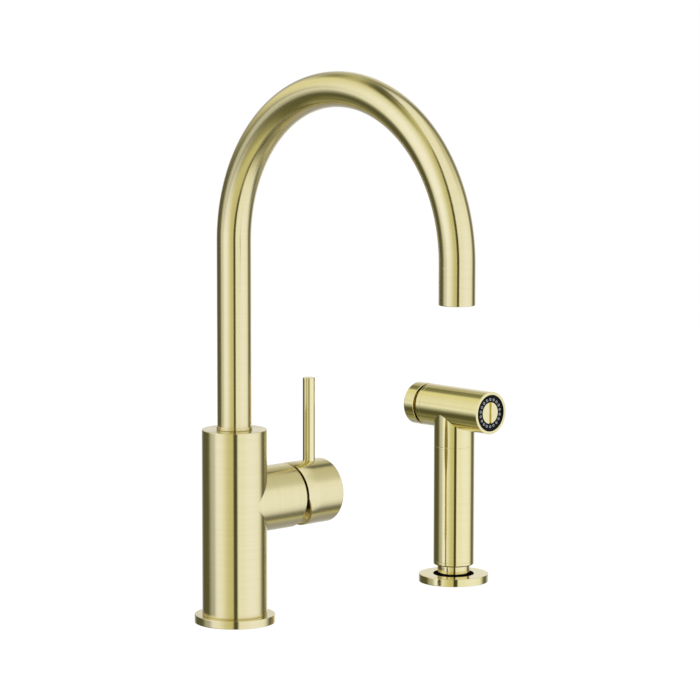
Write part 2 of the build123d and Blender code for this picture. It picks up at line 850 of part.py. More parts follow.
# Disc carrier: plastic slider on the moving disc, pushed by the stem's ball
with BuildPart() as disc_carrier:
    with BuildSketch(across_handle(moving_high)):
        with Locations((0, -stroke / 2)):
            Circle(carrier_radius)
        Rectangle(2 * carrier_flat, 4 * carrier_radius, mode=Mode.INTERSECT)
    extrude(amount=carrier_thickness)
    with BuildSketch(across_handle(carrier_high)):
        Circle(ball_radius + free_gap)
    extrude(amount=-(ball_inset + ball_radius + seat_gap), mode=Mode.SUBTRACT)
disc_carrier.part.label = "disc_carrier"
export_step(disc_carrier.part, "parts/disc_carrier.step")

# Cartridge rotor: turns in the housing, holds the pivot pin and guides the carrier by two cheeks
stem_slot_width = stem_side + 2 * free_gap
stem_slot_height = 13.2
with BuildPart() as cartridge_rotor:
    with BuildSketch(handle_section):
        Polygon(
            (0, rotor_low),
            (rotor_flange, rotor_low),
            (rotor_flange, rotor_shoulder),
            (rotor_neck, rotor_shoulder),
            (rotor_neck, rotor_high),
            (0, rotor_high),
        )
    revolve(axis=handle_axis)
    with BuildSketch(across_handle(moving_high + free_gap)):
        Circle(rotor_flange)
        Rectangle(2 * (carrier_flat + free_gap), 3 * rotor_flange, mode=Mode.SUBTRACT)
    extrude(amount=carrier_thickness)
    with BuildSketch(across_handle(rotor_low)):
        Rectangle(stem_slot_width, stem_slot_height)
    extrude(amount=rotor_high - rotor_low, mode=Mode.SUBTRACT)
    with BuildSketch(Plane(origin=(pivot_x, 0, handle_z), x_dir=(1, 0, 0), z_dir=(0, -1, 0))):
        Circle(pivot_pin_radius + thread_gap)
    extrude(amount=rotor_neck, both=True, mode=Mode.SUBTRACT)
cartridge_rotor.part.label = "cartridge_rotor"
export_step(cartridge_rotor.part, "parts/cartridge_rotor.step")

# Pivot pin: steel pin through the rotor and the stem
with BuildPart() as pivot_pin:
    with BuildSketch(Plane(origin=(pivot_x, 0, handle_z), x_dir=(1, 0, 0), z_dir=(0, -1, 0))):
        Circle(pivot_pin_radius)
    extrude(amount=rotor_neck - 0.5, both=True)
pivot_pin.part.label = "pivot_pin"
export_step(pivot_pin.part, "parts/pivot_pin.step")

# Cartridge stem: square bar on the pivot pin, with a ball that slides the disc carrier
cap_floor = pivot_x + dome_radius + 1.7
socket_end = cap_floor + 10.0
with BuildPart() as cartridge_stem:
    with BuildSketch(across_handle(pivot_x - stem_inner)):
        Rectangle(stem_side, stem_side)
    extrude(amount=socket_end - 0.5 - (pivot_x - stem_inner))
    with BuildSketch(across_handle(ball_x)):
        Circle(stem_neck)
    extrude(amount=pivot_x - stem_inner - ball_x)
    with Locations((ball_x, 0, handle_z)):
        Sphere(ball_radius)
    with BuildSketch(Plane(origin=(pivot_x, 0, handle_z), x_dir=(1, 0, 0), z_dir=(0, -1, 0))):
        Circle(pivot_pin_radius + turning_gap)
    extrude(amount=stem_side, both=True, mode=Mode.SUBTRACT)
cartridge_stem.part.label = "cartridge_stem"
export_step(cartridge_stem.part, "parts/cartridge_stem.step")

# Cartridge housing: plastic cup over the discs and the rotor
with BuildPart() as cartridge_housing:
    with BuildSketch(handle_section):
        Polygon(
            (housing_inner, base_high),
            (cartridge_radius, base_high),
            (cartridge_radius, housing_high),
            (rotor_neck + seat_gap, housing_high),
            (rotor_neck + seat_gap, housing_ceiling),
            (housing_inner, housing_ceiling),
        )
    revolve(axis=handle_axis)
cartridge_housing.part.label = "cartridge_housing"
export_step(cartridge_housing.part, "parts/cartridge_housing.step")

# Cartridge nut: threaded brass ring that holds the cartridge down, with a seat for the dome
retainer_high = housing_high + retainer_length
retainer_radius = nut_bore - turning_gap
with BuildPart() as cartridge_nut:
    with BuildSketch(handle_section):
        Polygon(
            (retainer_bore, housing_high),
            (retainer_radius, housing_high),
            (retainer_radius, retainer_high),
            (dome_skirt + thread_gap, retainer_high),
            (dome_skirt + thread_gap, retainer_high - dome_seat),
            (retainer_bore, retainer_high - dome_seat),
        )
    revolve(axis=handle_axis)
cartridge_nut.part.label = "cartridge_nut"
export_step(cartridge_nut.part, "parts/cartridge_nut.step")

# Dome: thin ball-shaped cover round the stem, centred on the pivot so that the cap clears it
inner_dome = dome_radius - dome_wall
inner_skirt = dome_skirt - dome_wall


def on_dome(radius, off_axis):
    """Point of a ball round the pivot, at a distance off the handle's axis."""
    return (off_axis, pivot_x + sqrt(radius**2 - off_axis**2))


def dome_arc(radius, start, end):
    """Three points of the dome's arc between two distances off the axis."""
    middle = (asin(start / radius) + asin(end / radius)) / 2
    return (on_dome(radius, start), on_dome(radius, radius * sin(middle)), on_dome(radius, end))


with BuildPart() as dome:
    with BuildSketch(handle_section):
        with BuildLine():
            ThreePointArc(*dome_arc(dome_radius, dome_skirt, dome_hole))
            Line(on_dome(dome_radius, dome_hole), on_dome(inner_dome, dome_hole))
            ThreePointArc(*dome_arc(inner_dome, dome_hole, inner_skirt))
            Polyline(
                on_dome(inner_dome, inner_skirt),
                (inner_skirt, retainer_high - dome_seat),
                (dome_skirt, retainer_high - dome_seat),
                on_dome(dome_radius, dome_skirt),
            )
        make_face()
    revolve(axis=handle_axis)
dome.part.label = "dome"
export_step(dome.part, "parts/dome.step")

# ================================================================================================
# Handle
# ================================================================================================

relief_angle = tilt_range + relief_margin
lever_seat = handle_z + lever_foot + lever_thread_length
grub_top = handle_z - stem_side / 2

# Handle cap: round cap over the dome, cut away below so that it can tilt, bored for the stem,
# the lever and the grub screw
with BuildPart() as handle_cap:
    with BuildSketch(handle_section):
        Polygon(
            (0, cap_floor),
            (cap_cavity_radius, cap_floor),
            (cap_cavity_radius, cap_start),
            (body_radius, cap_start),
            (body_radius, cap_end),
            (0, cap_end),
        )
    revolve(axis=handle_axis)
    fillet(handle_cap.edges().filter_by(GeomType.CIRCLE).group_by(Axis.X)[-1], radius=edge)
    relief_drop = body_radius + 2
    with BuildSketch(Plane.XZ):
        Polygon(
            (cap_start - 1, handle_z),
            (cap_start, handle_z),
            (cap_start + relief_drop * tan(radians(relief_angle)), handle_z - relief_drop),
            (cap_start - 1, handle_z - relief_drop),
        )
    extrude(amount=body_radius + 1, both=True, mode=Mode.SUBTRACT)
    with BuildSketch(across_handle(cap_floor)):
        Rectangle(stem_side + seat_gap, stem_side + seat_gap)
    extrude(amount=socket_end - cap_floor, mode=Mode.SUBTRACT)
    with BuildSketch(lever_section):
        Polygon(*ring(0, lever_thread_radius + thread_gap, handle_z + lever_foot, lever_seat))
        Polygon(*ring(0, lever_radius + thread_gap, lever_seat, handle_z + body_radius + 1))
    revolve(axis=lever_axis, mode=Mode.SUBTRACT)
    with BuildSketch(Plane.XY.offset(grub_top)):
        with Locations((grub_x, 0)):
            Circle(grub_radius + thread_gap)
    extrude(amount=-body_radius, mode=Mode.SUBTRACT)
handle_cap.part.label = "handle_cap"
export_step(handle_cap.part, "parts/handle_cap.step")

# Lever rod: straight round pin screwed into the top of the cap
with BuildPart() as lever_rod:
    with BuildSketch(lever_section):
        Polygon(*ring(0, lever_thread_radius, handle_z + lever_foot, lever_seat))
        Polygon(*ring(0, lever_radius, lever_seat, lever_top))
    revolve(axis=lever_axis)
    chamfer(lever_rod.edges().filter_by(GeomType.CIRCLE).group_by(Axis.Z)[-1], length=edge)
lever_rod.part.label = "lever_rod"
export_step(lever_rod.part, "parts/lever_rod.step")

# Handle grub screw: from below, against the stem
with BuildPart() as handle_grub_screw:
    with BuildSketch(Plane.XY.offset(grub_top)):
        with Locations((grub_x, 0)):
            Circle(grub_radius)
    extrude(amount=-grub_length)
    with BuildSketch(Plane.XY.offset(grub_top - grub_length)):
        with Locations((grub_x, 0)):
            RegularPolygon(1.25, 6, major_radius=False)
    extrude(amount=3.0, mode=Mode.SUBTRACT)
handle_grub_screw.part.label = "handle_grub_screw"
export_step(handle_grub_screw.part, "parts/handle_grub_screw.step")

# ================================================================================================
# Side spray: holder
# ================================================================================================

lip_floor = holder_height - bush_lip_depth
holder_gasket_outer = holder_gasket_inner + holder_gasket_width

# Spray holder: flange on the worktop and threaded shank through it, in one turned piece
with BuildPart() as spray_holder:
    with BuildSketch(spray_section):
        Polygon(*ring(shank_bore, shank_radius, -shank_length, 0))
        Polygon(*ring(shank_bore, holder_radius, 0, holder_height))
        Polygon(
            *ring(shank_bore, bush_lip_radius + turning_gap, lip_floor, holder_height),
            mode=Mode.SUBTRACT,
        )
        Polygon(
            *ring(holder_gasket_inner - seat_gap, holder_gasket_outer + seat_gap, 0, gasket_height),
            mode=Mode.SUBTRACT,
        )
    revolve(axis=spray_axis)
    holder_rim = spray_holder.edges().filter_by(GeomType.CIRCLE).sort_by(SortBy.RADIUS)
    chamfer(holder_rim.group_by(SortBy.RADIUS)[-1], length=edge / 2)
spray_holder.part.label = "spray_holder"
export_step(spray_holder.part, "parts/spray_holder.step")

# Holder gasket: rubber ring in the flange's groove
with BuildPart() as holder_gasket:
    with BuildSketch(spray_section):
        Polygon(*ring(holder_gasket_inner, holder_gasket_outer, 0, gasket_height))
    revolve(axis=spray_axis)
holder_gasket.part.label = "holder_gasket"
export_step(holder_gasket.part, "parts/holder_gasket.step")

# Guide bush: black plastic liner with a rounded lip, and a cone that the connector rests in
cone_slope = (neck_radius - cone_foot) / (cone_high - cone_low)
guide_radius = neck_radius + free_gap
bush_foot_radius = guide_radius - cone_slope * (bush_reach + cone_high)
with BuildPart() as guide_bush:
    with BuildSketch(spray_section):
        Polygon(
            (bush_foot_radius, -bush_reach),
            (shank_bore - turning_gap, -bush_reach),
            (shank_bore - turning_gap, lip_floor),
            (bush_lip_radius, lip_floor),
            (bush_lip_radius, holder_height + bush_lip_proud),
            (guide_radius, holder_height + bush_lip_proud),
            (guide_radius, cone_high),
        )
    revolve(axis=spray_axis)
    fillet(guide_bush.edges().filter_by(GeomType.CIRCLE).group_by(Axis.Z)[-1], radius=edge)
guide_bush.part.label = "guide_bush"
export_step(guide_bush.part, "parts/guide_bush.step")

# Holder washer: rubber ring against the worktop's underside
with BuildPart() as holder_washer_ring:
    with BuildSketch(spray_section):
        Polygon(
            *ring(
                shank_radius + seat_gap,
                holder_washer_radius,
                -deck_thickness - holder_washer,
                -deck_thickness,
            )
        )
    revolve(axis=spray_axis)
holder_washer_ring.part.label = "holder_washer"
export_step(holder_washer_ring.part, "parts/holder_washer.step")

# Holder nut: octagonal nut on the shank
with BuildPart() as holder_lock_nut:
    with BuildSketch(across_spray(-deck_thickness - holder_washer)):
        RegularPolygon(holder_nut_flats / 2, 8, major_radius=False)
        Circle(shank_radius + thread_gap, mode=Mode.SUBTRACT)
    extrude(amount=-holder_nut)
holder_lock_nut.part.label = "holder_nut"
export_step(holder_lock_nut.part, "parts/holder_nut.step")

# ================================================================================================
# Side spray: hose connector
# ================================================================================================

swivel_top = neck_top + swivel_length
swivel_seal_centre = swivel_radius + turning_gap / 2 - swivel_seal
swivel_seal_z = swivel_top - swivel_seal_drop
hose_end = cone_low - hose_thread_length - 2.0
clip_low = clip_height - clip_thickness / 2
clip_high = clip_height + clip_thickness / 2

# Hose connector: neck in the guide bush, thread for the hose below and swivel spigot above
with BuildPart() as hose_connector:
    with BuildSketch(spray_section):
        Polygon(
            (hose_bore, hose_end),
            (hose_thread, hose_end),
            (hose_thread, cone_low - 2.0),
            (cone_foot, cone_low),
            (neck_radius, cone_high),
            (neck_radius, neck_top),
            (swivel_radius, neck_top),
            (swivel_radius, swivel_top),
            (hose_bore, swivel_top),
        )
        Polygon(
            *ring(
                swivel_seal_centre - swivel_seal - turning_gap / 2,
                swivel_radius + 1,
                swivel_seal_z - swivel_seal - seat_gap,
                swivel_seal_z + swivel_seal + seat_gap,
            ),
            mode=Mode.SUBTRACT,
        )
        Polygon(
            *ring(
                swivel_radius - clip_depth - seat_gap,
                swivel_radius + 1,
                clip_low - free_gap,
                clip_high + free_gap,
            ),
            mode=Mode.SUBTRACT,
        )
    revolve(axis=spray_axis)
hose_connector.part.label = "hose_connector"
export_step(hose_connector.part, "parts/hose_connector.step")

# Connector seal: sealing ring on the swivel spigot
with BuildPart() as connector_seal:
    with BuildSketch(spray_section):
        with Locations((swivel_seal_centre, swivel_seal_z)):
            Circle(swivel_seal)
    revolve(axis=spray_axis)
connector_seal.part.label = "connector_seal"
export_step(connector_seal.part, "parts/connector_seal.step")

# ================================================================================================
# Side spray: handset
# ================================================================================================

swivel_hole = swivel_radius + turning_gap
grip_bore = grip_radius - grip_wall
grip_plug = grip_bore - turning_gap
tube_socket = water_tube_radius + turning_gap
socket_floor = collar_sleeve_top - water_tube_socket

# Grip collar: end ring of the grip, with the swivel's bearing and the water tube's socket inside
with BuildPart() as grip_collar:
    with BuildSketch(spray_section):
        Polygon(
            (swivel_hole, grip_low),
            (grip_radius - collar_chamfer, grip_low),
            (grip_radius, grip_low + collar_chamfer),
            (grip_radius, collar_line),
            (grip_plug, collar_line),
            (grip_plug, collar_sleeve_top),
            (tube_socket, collar_sleeve_top),
            (tube_socket, socket_floor),
            (swivel_hole, socket_floor),
        )
        Polygon(
            *ring(
                swivel_hole - 1,
                swivel_radius - clip_depth + clip_width + seat_gap,
                clip_low - turning_gap,
                clip_high + turning_gap,
            ),
            mode=Mode.SUBTRACT,
        )
    revolve(axis=spray_axis)
grip_collar.part.label = "grip_collar"
export_step(grip_collar.part, "parts/grip_collar.step")

# Swivel clip: open spring ring that keeps the handset on the connector
with BuildPart() as swivel_clip:
    with BuildSketch(across_spray(clip_low)):
        Circle(swivel_radius - clip_depth + clip_width)
        Circle(swivel_radius - clip_depth, mode=Mode.SUBTRACT)
        opening_width = 2 * swivel_radius * sin(radians(clip_opening / 2))
        with Locations((0, swivel_radius)):
            Rectangle(opening_width, 2 * clip_width + 4, mode=Mode.SUBTRACT)
    extrude(amount=clip_thickness)
swivel_clip.part.label = "swivel_clip"
export_step(swivel_clip.part, "parts/swivel_clip.step")

# Grip tube: plain tube of the handle
with BuildPart() as grip_tube:
    with BuildSketch(spray_section):
        Polygon(*ring(grip_bore, grip_radius, collar_line, grip_high))
    revolve(axis=spray_axis)
    grip_ends = grip_tube.edges().filter_by(GeomType.CIRCLE).group_by(SortBy.RADIUS)[-1]
    chamfer(grip_ends, length=edge / 3)
grip_tube.part.label = "grip_tube"
export_step(grip_tube.part, "parts/grip_tube.step")

# Spray body: the head lying across the top of the grip, with the valve's bores
head_spigot_low = grip_high - head_spigot
water_tube_high = head_spigot_low + 3 * water_tube_socket
face_floor = head_front + face_depth
seat_front = face_floor + chamber_depth
inlet_front = seat_front + seat_length
cylinder_front = inlet_front + inlet_length
pocket_front = cylinder_front + cylinder_length
thread_front = pocket_front + pocket_length
with BuildPart() as spray_body:
    with BuildSketch(head_section):
        Polygon(*ring(0, head_radius, head_front, head_back))
    revolve(axis=head_axis)
    with BuildSketch(across_spray(grip_high)):
        Circle(grip_radius)
    extrude(amount=head_z - grip_high)
    head_rims = spray_body.edges().filter_by(GeomType.CIRCLE).group_by(Axis.Y)
    chamfer(head_rims[0], length=edge / 2)
    with BuildSketch(across_spray(head_spigot_low)):
        Circle(grip_plug)
    extrude(amount=head_spigot)
    with BuildSketch(head_section):
        Polygon(
            (0, head_front),
            (face_bore, head_front),
            (face_bore, face_floor),
            (front_chamber, face_floor),
            (front_chamber, seat_front),
            (seat_bore, seat_front),
            (seat_bore, inlet_front),
            (inlet_chamber, inlet_front),
            (inlet_chamber, cylinder_front),
            (cylinder_radius, cylinder_front),
            (cylinder_radius, pocket_front),
            (pocket_radius, pocket_front),
            (pocket_radius, thread_front),
            (ring_thread, thread_front),
            (ring_thread, head_back),
            (0, head_back),
        )
    revolve(axis=head_axis, mode=Mode.SUBTRACT)
    with BuildSketch(across_spray(water_tube_high)):
        with Locations((0, (inlet_front + cylinder_front) / 2)):
            Circle(channel_radius)
    extrude(amount=head_z - water_tube_high, mode=Mode.SUBTRACT)
    with BuildSketch(across_spray(head_spigot_low)):
        Circle(tube_socket)
    extrude(amount=3 * water_tube_socket, mode=Mode.SUBTRACT)
spray_body.part.label = "spray_body"
export_step(spray_body.part, "parts/spray_body.step")

# Water tube: from the swivel up to the head, inside the grip
with BuildPart() as water_tube:
    with BuildSketch(spray_section):
        Polygon(*ring(hose_bore, water_tube_radius, socket_floor, water_tube_high))
    revolve(axis=spray_axis)
water_tube.part.label = "water_tube"
export_step(water_tube.part, "parts/water_tube.step")

# Valve seat: ring pressed into the head behind the front chamber
with BuildPart() as valve_seat:
    with BuildSketch(head_section):
        Polygon(*ring(seat_hole, seat_bore - turning_gap, seat_front, inlet_front))
    revolve(axis=head_axis)
valve_seat.part.label = "valve_seat"
export_step(valve_seat.part, "parts/valve_seat.step")

# ================================================================================================
# Side spray: push button and valve
# ================================================================================================

seal_face = seat_front - seat_gap
plunger_neck = seal_face - seat_seal_thickness
plunger_front = plunger_neck - plunger_head_thickness
plate_face = button_front - sleeve_plate
lip_back = ring_shoulder - free_gap
lip_front = lip_back - sleeve_lip_thickness
plunger_piston = cylinder_front + 0.5
plunger_piston_end = plunger_piston + plunger_piston_length
piston_seal_y = plunger_piston + plunger_piston_length / 2
piston_seal_centre = piston_radius + turning_gap / 2 - piston_seal
rod_end = button_front + rod_thread_length

# Rear ring: screws into the back of the head and keeps the button in
with BuildPart() as rear_ring:
    with BuildSketch(head_section):
        Polygon(
            (ring_thread - turning_gap, thread_front + 0.2),
            (ring_thread - turning_gap, head_back),
            (head_radius, head_back),
            (head_radius, ring_end),
            (sleeve_radius + free_gap, ring_end),
            (sleeve_radius + free_gap, ring_shoulder),
            (sleeve_lip + free_gap, ring_shoulder),
            (sleeve_lip + free_gap, thread_front + 0.2),
        )
    revolve(axis=head_axis)
    ring_rims = rear_ring.edges().filter_by(GeomType.CIRCLE).group_by(SortBy.RADIUS)[-1]
    chamfer(ring_rims, length=edge / 3)
rear_ring.part.label = "rear_ring"
export_step(rear_ring.part, "parts/rear_ring.step")

# Button sleeve: guides the button in the rear ring, with a lip that stops it from coming out
with BuildPart() as button_sleeve:
    with BuildSketch(head_section):
        Polygon(
            (sleeve_inner, lip_front),
            (sleeve_lip, lip_front),
            (sleeve_lip, lip_back),
            (sleeve_radius, lip_back),
            (sleeve_radius, button_front),
            (rod_thread + thread_gap, button_front),
            (rod_thread + thread_gap, plate_face),
            (sleeve_inner, plate_face),
        )
    revolve(axis=head_axis)
button_sleeve.part.label = "button_sleeve"
export_step(button_sleeve.part, "parts/button_sleeve.step")

# Button cap: round push button of the head's own diameter
with BuildPart() as button_cap:
    with BuildSketch(head_section):
        Polygon(
            (0, rod_end),
            (rod_thread + thread_gap, rod_end),
            (rod_thread + thread_gap, button_front),
            (head_radius, button_front),
            (head_radius, button_back),
            (0, button_back),
        )
    revolve(axis=head_axis)
    button_rims = button_cap.edges().filter_by(GeomType.CIRCLE).group_by(Axis.Y)
    fillet(button_rims[-1], radius=edge)
button_cap.part.label = "button_cap"
export_step(button_cap.part, "parts/button_cap.step")

# Valve plunger: head in front of the seat, balanced by a piston behind it, on one rod
with BuildPart() as valve_plunger:
    with BuildSketch(head_section):
        Polygon(
            (0, plunger_front),
            (plunger_head, plunger_front),
            (plunger_head, plunger_neck),
            (plunger_stem, plunger_neck),
            (plunger_stem, plunger_piston),
            (piston_radius, plunger_piston),
            (piston_radius, plunger_piston_end),
            (rod_radius, plunger_piston_end),
            (rod_radius, plate_face),
            (rod_thread, plate_face),
            (rod_thread, rod_end),
            (0, rod_end),
        )
        Polygon(
            *ring(
                piston_seal_centre - piston_seal - turning_gap / 2,
                piston_radius + 1,
                piston_seal_y - piston_seal - seat_gap,
                piston_seal_y + piston_seal + seat_gap,
            ),
            mode=Mode.SUBTRACT,
        )
    revolve(axis=head_axis)
valve_plunger.part.label = "valve_plunger"
export_step(valve_plunger.part, "parts/valve_plunger.step")

# Plunger seals: the valve's rubber washer and the piston's sealing ring
with BuildPart() as plunger_seals:
    with BuildSketch(head_section):
        Polygon(*ring(plunger_stem, plunger_head, plunger_neck, seal_face))
    revolve(axis=head_axis)
    with BuildSketch(head_section):
        with Locations((piston_seal_centre, piston_seal_y)):
            Circle(piston_seal)
    revolve(axis=head_axis)
plunger_seals.part.label = "plunger_seals"
export_step(plunger_seals.part, "parts/plunger_seals.step")

# Button spring: round the rod, between the head and the button's sleeve
spring_front = pocket_front + trigger_wire + seat_gap
spring_back = plate_face - trigger_wire - seat_gap
with BuildPart() as button_spring:
    with BuildLine() as button_helix:
        Helix(
            pitch=(spring_back - spring_front) / trigger_turns,
            height=spring_back - spring_front,
            radius=trigger_coil,
            center=(spray_x, spring_front, head_z),
            direction=(0, 1, 0),
        )
    with BuildSketch(Plane(origin=button_helix.line @ 0, z_dir=button_helix.line % 0)):
        Circle(trigger_wire)
    sweep(path=button_helix.line, is_frenet=True)
button_spring.part.label = "button_spring"
export_step(button_spring.part, "parts/button_spring.step")

# ================================================================================================
# Side spray: face
# ================================================================================================

flow_back = face_floor
flow_front = flow_back - flow_disc_thickness
mat_front = flow_front - mat_thickness
plate_front = head_front + plate_inset
plate_back = plate_front + plate_thickness
disc_front = plate_front - disc_proud
disc_back = disc_front + disc_thickness
screw_end = disc_back + face_screw_length
face_piece_radius = face_bore - turning_gap

# Flow disc: spreads the water behind the nozzles and takes the face screw
with BuildPart() as flow_disc:
    with BuildSketch(head_section):
        Polygon(*ring(0, face_piece_radius, flow_front, flow_back))
        Polygon(*ring(0, flow_boss_radius, flow_back, flow_back + flow_boss_length))
        Polygon(
            *ring(flow_groove_inner, flow_groove_outer, flow_front, flow_front + flow_groove_depth),
            mode=Mode.SUBTRACT,
        )
        Polygon(*ring(0, face_screw_radius + thread_gap, flow_front, screw_end + 0.5), mode=Mode.SUBTRACT)
    revolve(axis=head_axis)
    with BuildSketch(across_head(flow_back)):
        with PolarLocations(flow_hole_circle, 6):
            Circle(flow_hole)
    extrude(amount=flow_disc_thickness, mode=Mode.SUBTRACT)
flow_disc.part.label = "flow_disc"
export_step(flow_disc.part, "parts/flow_disc.step")

# Spray nozzles: rubber mat with a ring of nozzles, each with its own hole
with BuildPart() as spray_nozzles:
    with BuildSketch(across_head(flow_front)):
        Circle(face_piece_radius)
        Circle(flow_boss_radius, mode=Mode.SUBTRACT)
    extrude(amount=mat_thickness)
    with BuildSketch(across_head(mat_front)):
        with PolarLocations(nozzle_circle, nozzle_count, start_angle=90):
            Circle(nozzle_radius)
    extrude(amount=plate_thickness + nozzle_proud)
    with BuildSketch(across_head(flow_front)):
        with PolarLocations(nozzle_circle, nozzle_count, start_angle=90):
            Circle(nozzle_hole)
    extrude(amount=mat_thickness + plate_thickness + nozzle_proud, mode=Mode.SUBTRACT)
spray_nozzles.part.label = "spray_nozzles"
export_step(spray_nozzles.part, "parts/spray_nozzles.step")

# Nozzle plate: black face plate with a fine ridge and a recess for the middle disc
with BuildPart() as nozzle_plate:
    with BuildSketch(head_section):
        Polygon(*ring(face_screw_radius + seat_gap, face_piece_radius, plate_front, plate_back))
        Polygon(
            *ring(0, disc_radius + turning_gap, plate_front, disc_back),
            mode=Mode.SUBTRACT,
        )
        Polygon(
            *ring(
                ridge_radius - ridge_width / 2,
                ridge_radius + ridge_width / 2,
                plate_front - ridge_height,
                plate_front,
            )
        )
    revolve(axis=head_axis)
    with BuildSketch(across_head(plate_back)):
        with PolarLocations(nozzle_circle, nozzle_count, start_angle=90):
            Circle(nozzle_radius + turning_gap)
    extrude(amount=plate_thickness + ridge_height, mode=Mode.SUBTRACT)
nozzle_plate.part.label = "nozzle_plate"
export_step(nozzle_plate.part, "parts/nozzle_plate.step")

# Face screw: wide slotted disc in the middle of the face, with a thin threaded shank
with BuildPart() as face_screw:
    with BuildSketch(head_section):
        Polygon(
            (0, disc_front),
            (disc_radius, disc_front),
            (disc_radius, disc_back),
            (face_screw_radius, disc_back),
            (face_screw_radius, screw_end),
            (0, screw_end),
        )
    revolve(axis=head_axis)
    with BuildSketch(across_head(disc_front)):
        Rectangle(disc_slot, 3 * disc_radius)
    extrude(amount=-disc_slot_depth, mode=Mode.SUBTRACT)
face_screw.part.label = "face_screw"
export_step(face_screw.part, "parts/face_screw.step")
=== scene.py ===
"""Looks of the side spray kitchen faucet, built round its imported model.

Every size is in millimetres in the classes below and becomes metres where a mesh is made. The
mixer column stands on the origin, +X runs towards the handle and the side spray, -Y towards the
user and +Z up.
"""

import logging
import math
from collections.abc import Callable
from dataclasses import dataclass
from enum import Enum

import bmesh
import bpy
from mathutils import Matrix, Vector


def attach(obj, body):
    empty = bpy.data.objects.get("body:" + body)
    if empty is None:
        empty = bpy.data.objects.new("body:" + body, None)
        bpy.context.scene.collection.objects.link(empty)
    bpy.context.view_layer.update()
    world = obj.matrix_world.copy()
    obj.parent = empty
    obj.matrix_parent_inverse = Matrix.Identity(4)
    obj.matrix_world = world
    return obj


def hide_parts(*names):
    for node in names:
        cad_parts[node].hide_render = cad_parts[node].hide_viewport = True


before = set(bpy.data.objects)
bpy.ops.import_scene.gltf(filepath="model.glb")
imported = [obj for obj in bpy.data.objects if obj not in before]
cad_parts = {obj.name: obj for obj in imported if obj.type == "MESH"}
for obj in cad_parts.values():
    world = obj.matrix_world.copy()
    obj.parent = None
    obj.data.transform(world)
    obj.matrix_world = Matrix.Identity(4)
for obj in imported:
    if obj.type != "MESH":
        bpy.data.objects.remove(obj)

log = logging.getLogger("faucet")

Colour = tuple[float, float, float]
Test = Callable[..., bool]
Value = bpy.types.NodeSocket | float | tuple[float, ...]

TURNING_MAP = "turning"

MM = 0.001
SAME_SPOT = 1e-6  # metres; two points nearer than this are one
MERGE_DISTANCE = 2e-6  # metres
CUT_THRESHOLD = 1e-7  # metres
ON_LINE = 1e-5  # metres; how near a point lies to a line that it is on
BUMP_DISTANCE = 0.0001  # metres
OVERSHOOT = 2.0  # millimetres that a drill runs past a surface
HOLD_REACH = 0.4  # millimetres from an eased corner's curve to the corner added beside it
HOLD_ROOM = 0.5  # millimetres that have to be left beyond an added corner
EASE_STEPS = 3  # of an eased corner's curve
MAP_SCALE = 100  # of the turning map's U
RADIUS_SHARE = 0.37  # of the radius in U, which sets flat faces out in rings
CENTRE_SHARE = 0.01  # of the distance from a face's centre in U, for the ends of a bent tube
CREST = (0.42, 0.58)  # where a thread's crest starts and ends, in shares of its pitch
NOISE_RANGE = (0.3, 0.7)  # holds most values of a noise texture


# ---- working in edit mode ---------------------------------------------------------------------


def to_object_mode() -> None:
    """Leaves edit mode and deselects every object."""
    if bpy.context.mode != "OBJECT":
        bpy.ops.object.mode_set(mode="OBJECT")
    bpy.ops.object.select_all(action="DESELECT")


def make_active(piece: bpy.types.Object) -> None:
    """Makes one object the only selected and the active one.

    Args:
        piece: the object.
    """
    to_object_mode()
    piece.select_set(True)
    bpy.context.view_layer.objects.active = piece


def pick(piece: bpy.types.Object, wanted: Test, kind: str = "VERT") -> int:
    """Selects the elements of the edited mesh that a test accepts.

    Args:
        piece: the object in edit mode.
        wanted: a test that takes a point (vertices) or an element (edges and faces).
        kind: VERT, EDGE or FACE.

    Returns:
        How many elements are now selected.
    """
    bpy.ops.mesh.select_mode(type=kind)
    bpy.ops.mesh.select_all(action="DESELECT")
    mesh = bmesh.from_edit_mesh(piece.data)
    if kind == "VERT":
        chosen = [v for v in mesh.verts if wanted(v.co)]
    elif kind == "EDGE":
        chosen = [e for e in mesh.edges if wanted(e)]
    else:
        chosen = [f for f in mesh.faces if wanted(f)]
    for element in chosen:
        element.select_set(True)
    bmesh.update_edit_mesh(piece.data)
    return len(chosen)


def close_and_face_out() -> None:
    """Merges what lies double in the edited mesh and turns its faces outwards."""
    bpy.ops.mesh.select_mode(type="VERT")
    bpy.ops.mesh.select_all(action="SELECT")
    bpy.ops.mesh.remove_doubles(threshold=MERGE_DISTANCE)
    bpy.ops.mesh.normals_make_consistent(inside=False)


def smooth(piece: bpy.types.Object, angle: float = 32.0) -> None:
    """Shades a piece smooth, but for edges sharper than the angle in degrees."""
    make_active(piece)
    bpy.ops.object.shade_smooth_by_angle(angle=math.radians(angle), keep_sharp_edges=True)


def use_boolean(piece: bpy.types.Object, tool: bpy.types.Object, operation: str) -> None:
    """Applies a Boolean modifier and removes the tool.

    Args:
        piece: the object that is changed.
        tool: the object that is added or cut away.
        operation: UNION or DIFFERENCE.
    """
    make_active(piece)
    cut = piece.modifiers.new("cut", "BOOLEAN")
    cut.operation, cut.object, cut.solver = operation, tool, "EXACT"
    bpy.ops.object.modifier_apply(modifier=cut.name)
    bpy.data.objects.remove(tool, do_unlink=True)


def join(first: bpy.types.Object, *others: bpy.types.Object) -> bpy.types.Object:
    """Joins objects into the first one, merging the points that they share.

    Args:
        first: the object that stays.
        others: the objects that go into it.

    Returns:
        The first object.
    """
    make_active(first)
    for other in others:
        other.select_set(True)
    bpy.ops.object.join()
    bpy.ops.object.mode_set(mode="EDIT")
    close_and_face_out()
    to_object_mode()
    return first


# ---- turning ----------------------------------------------------------------------------------


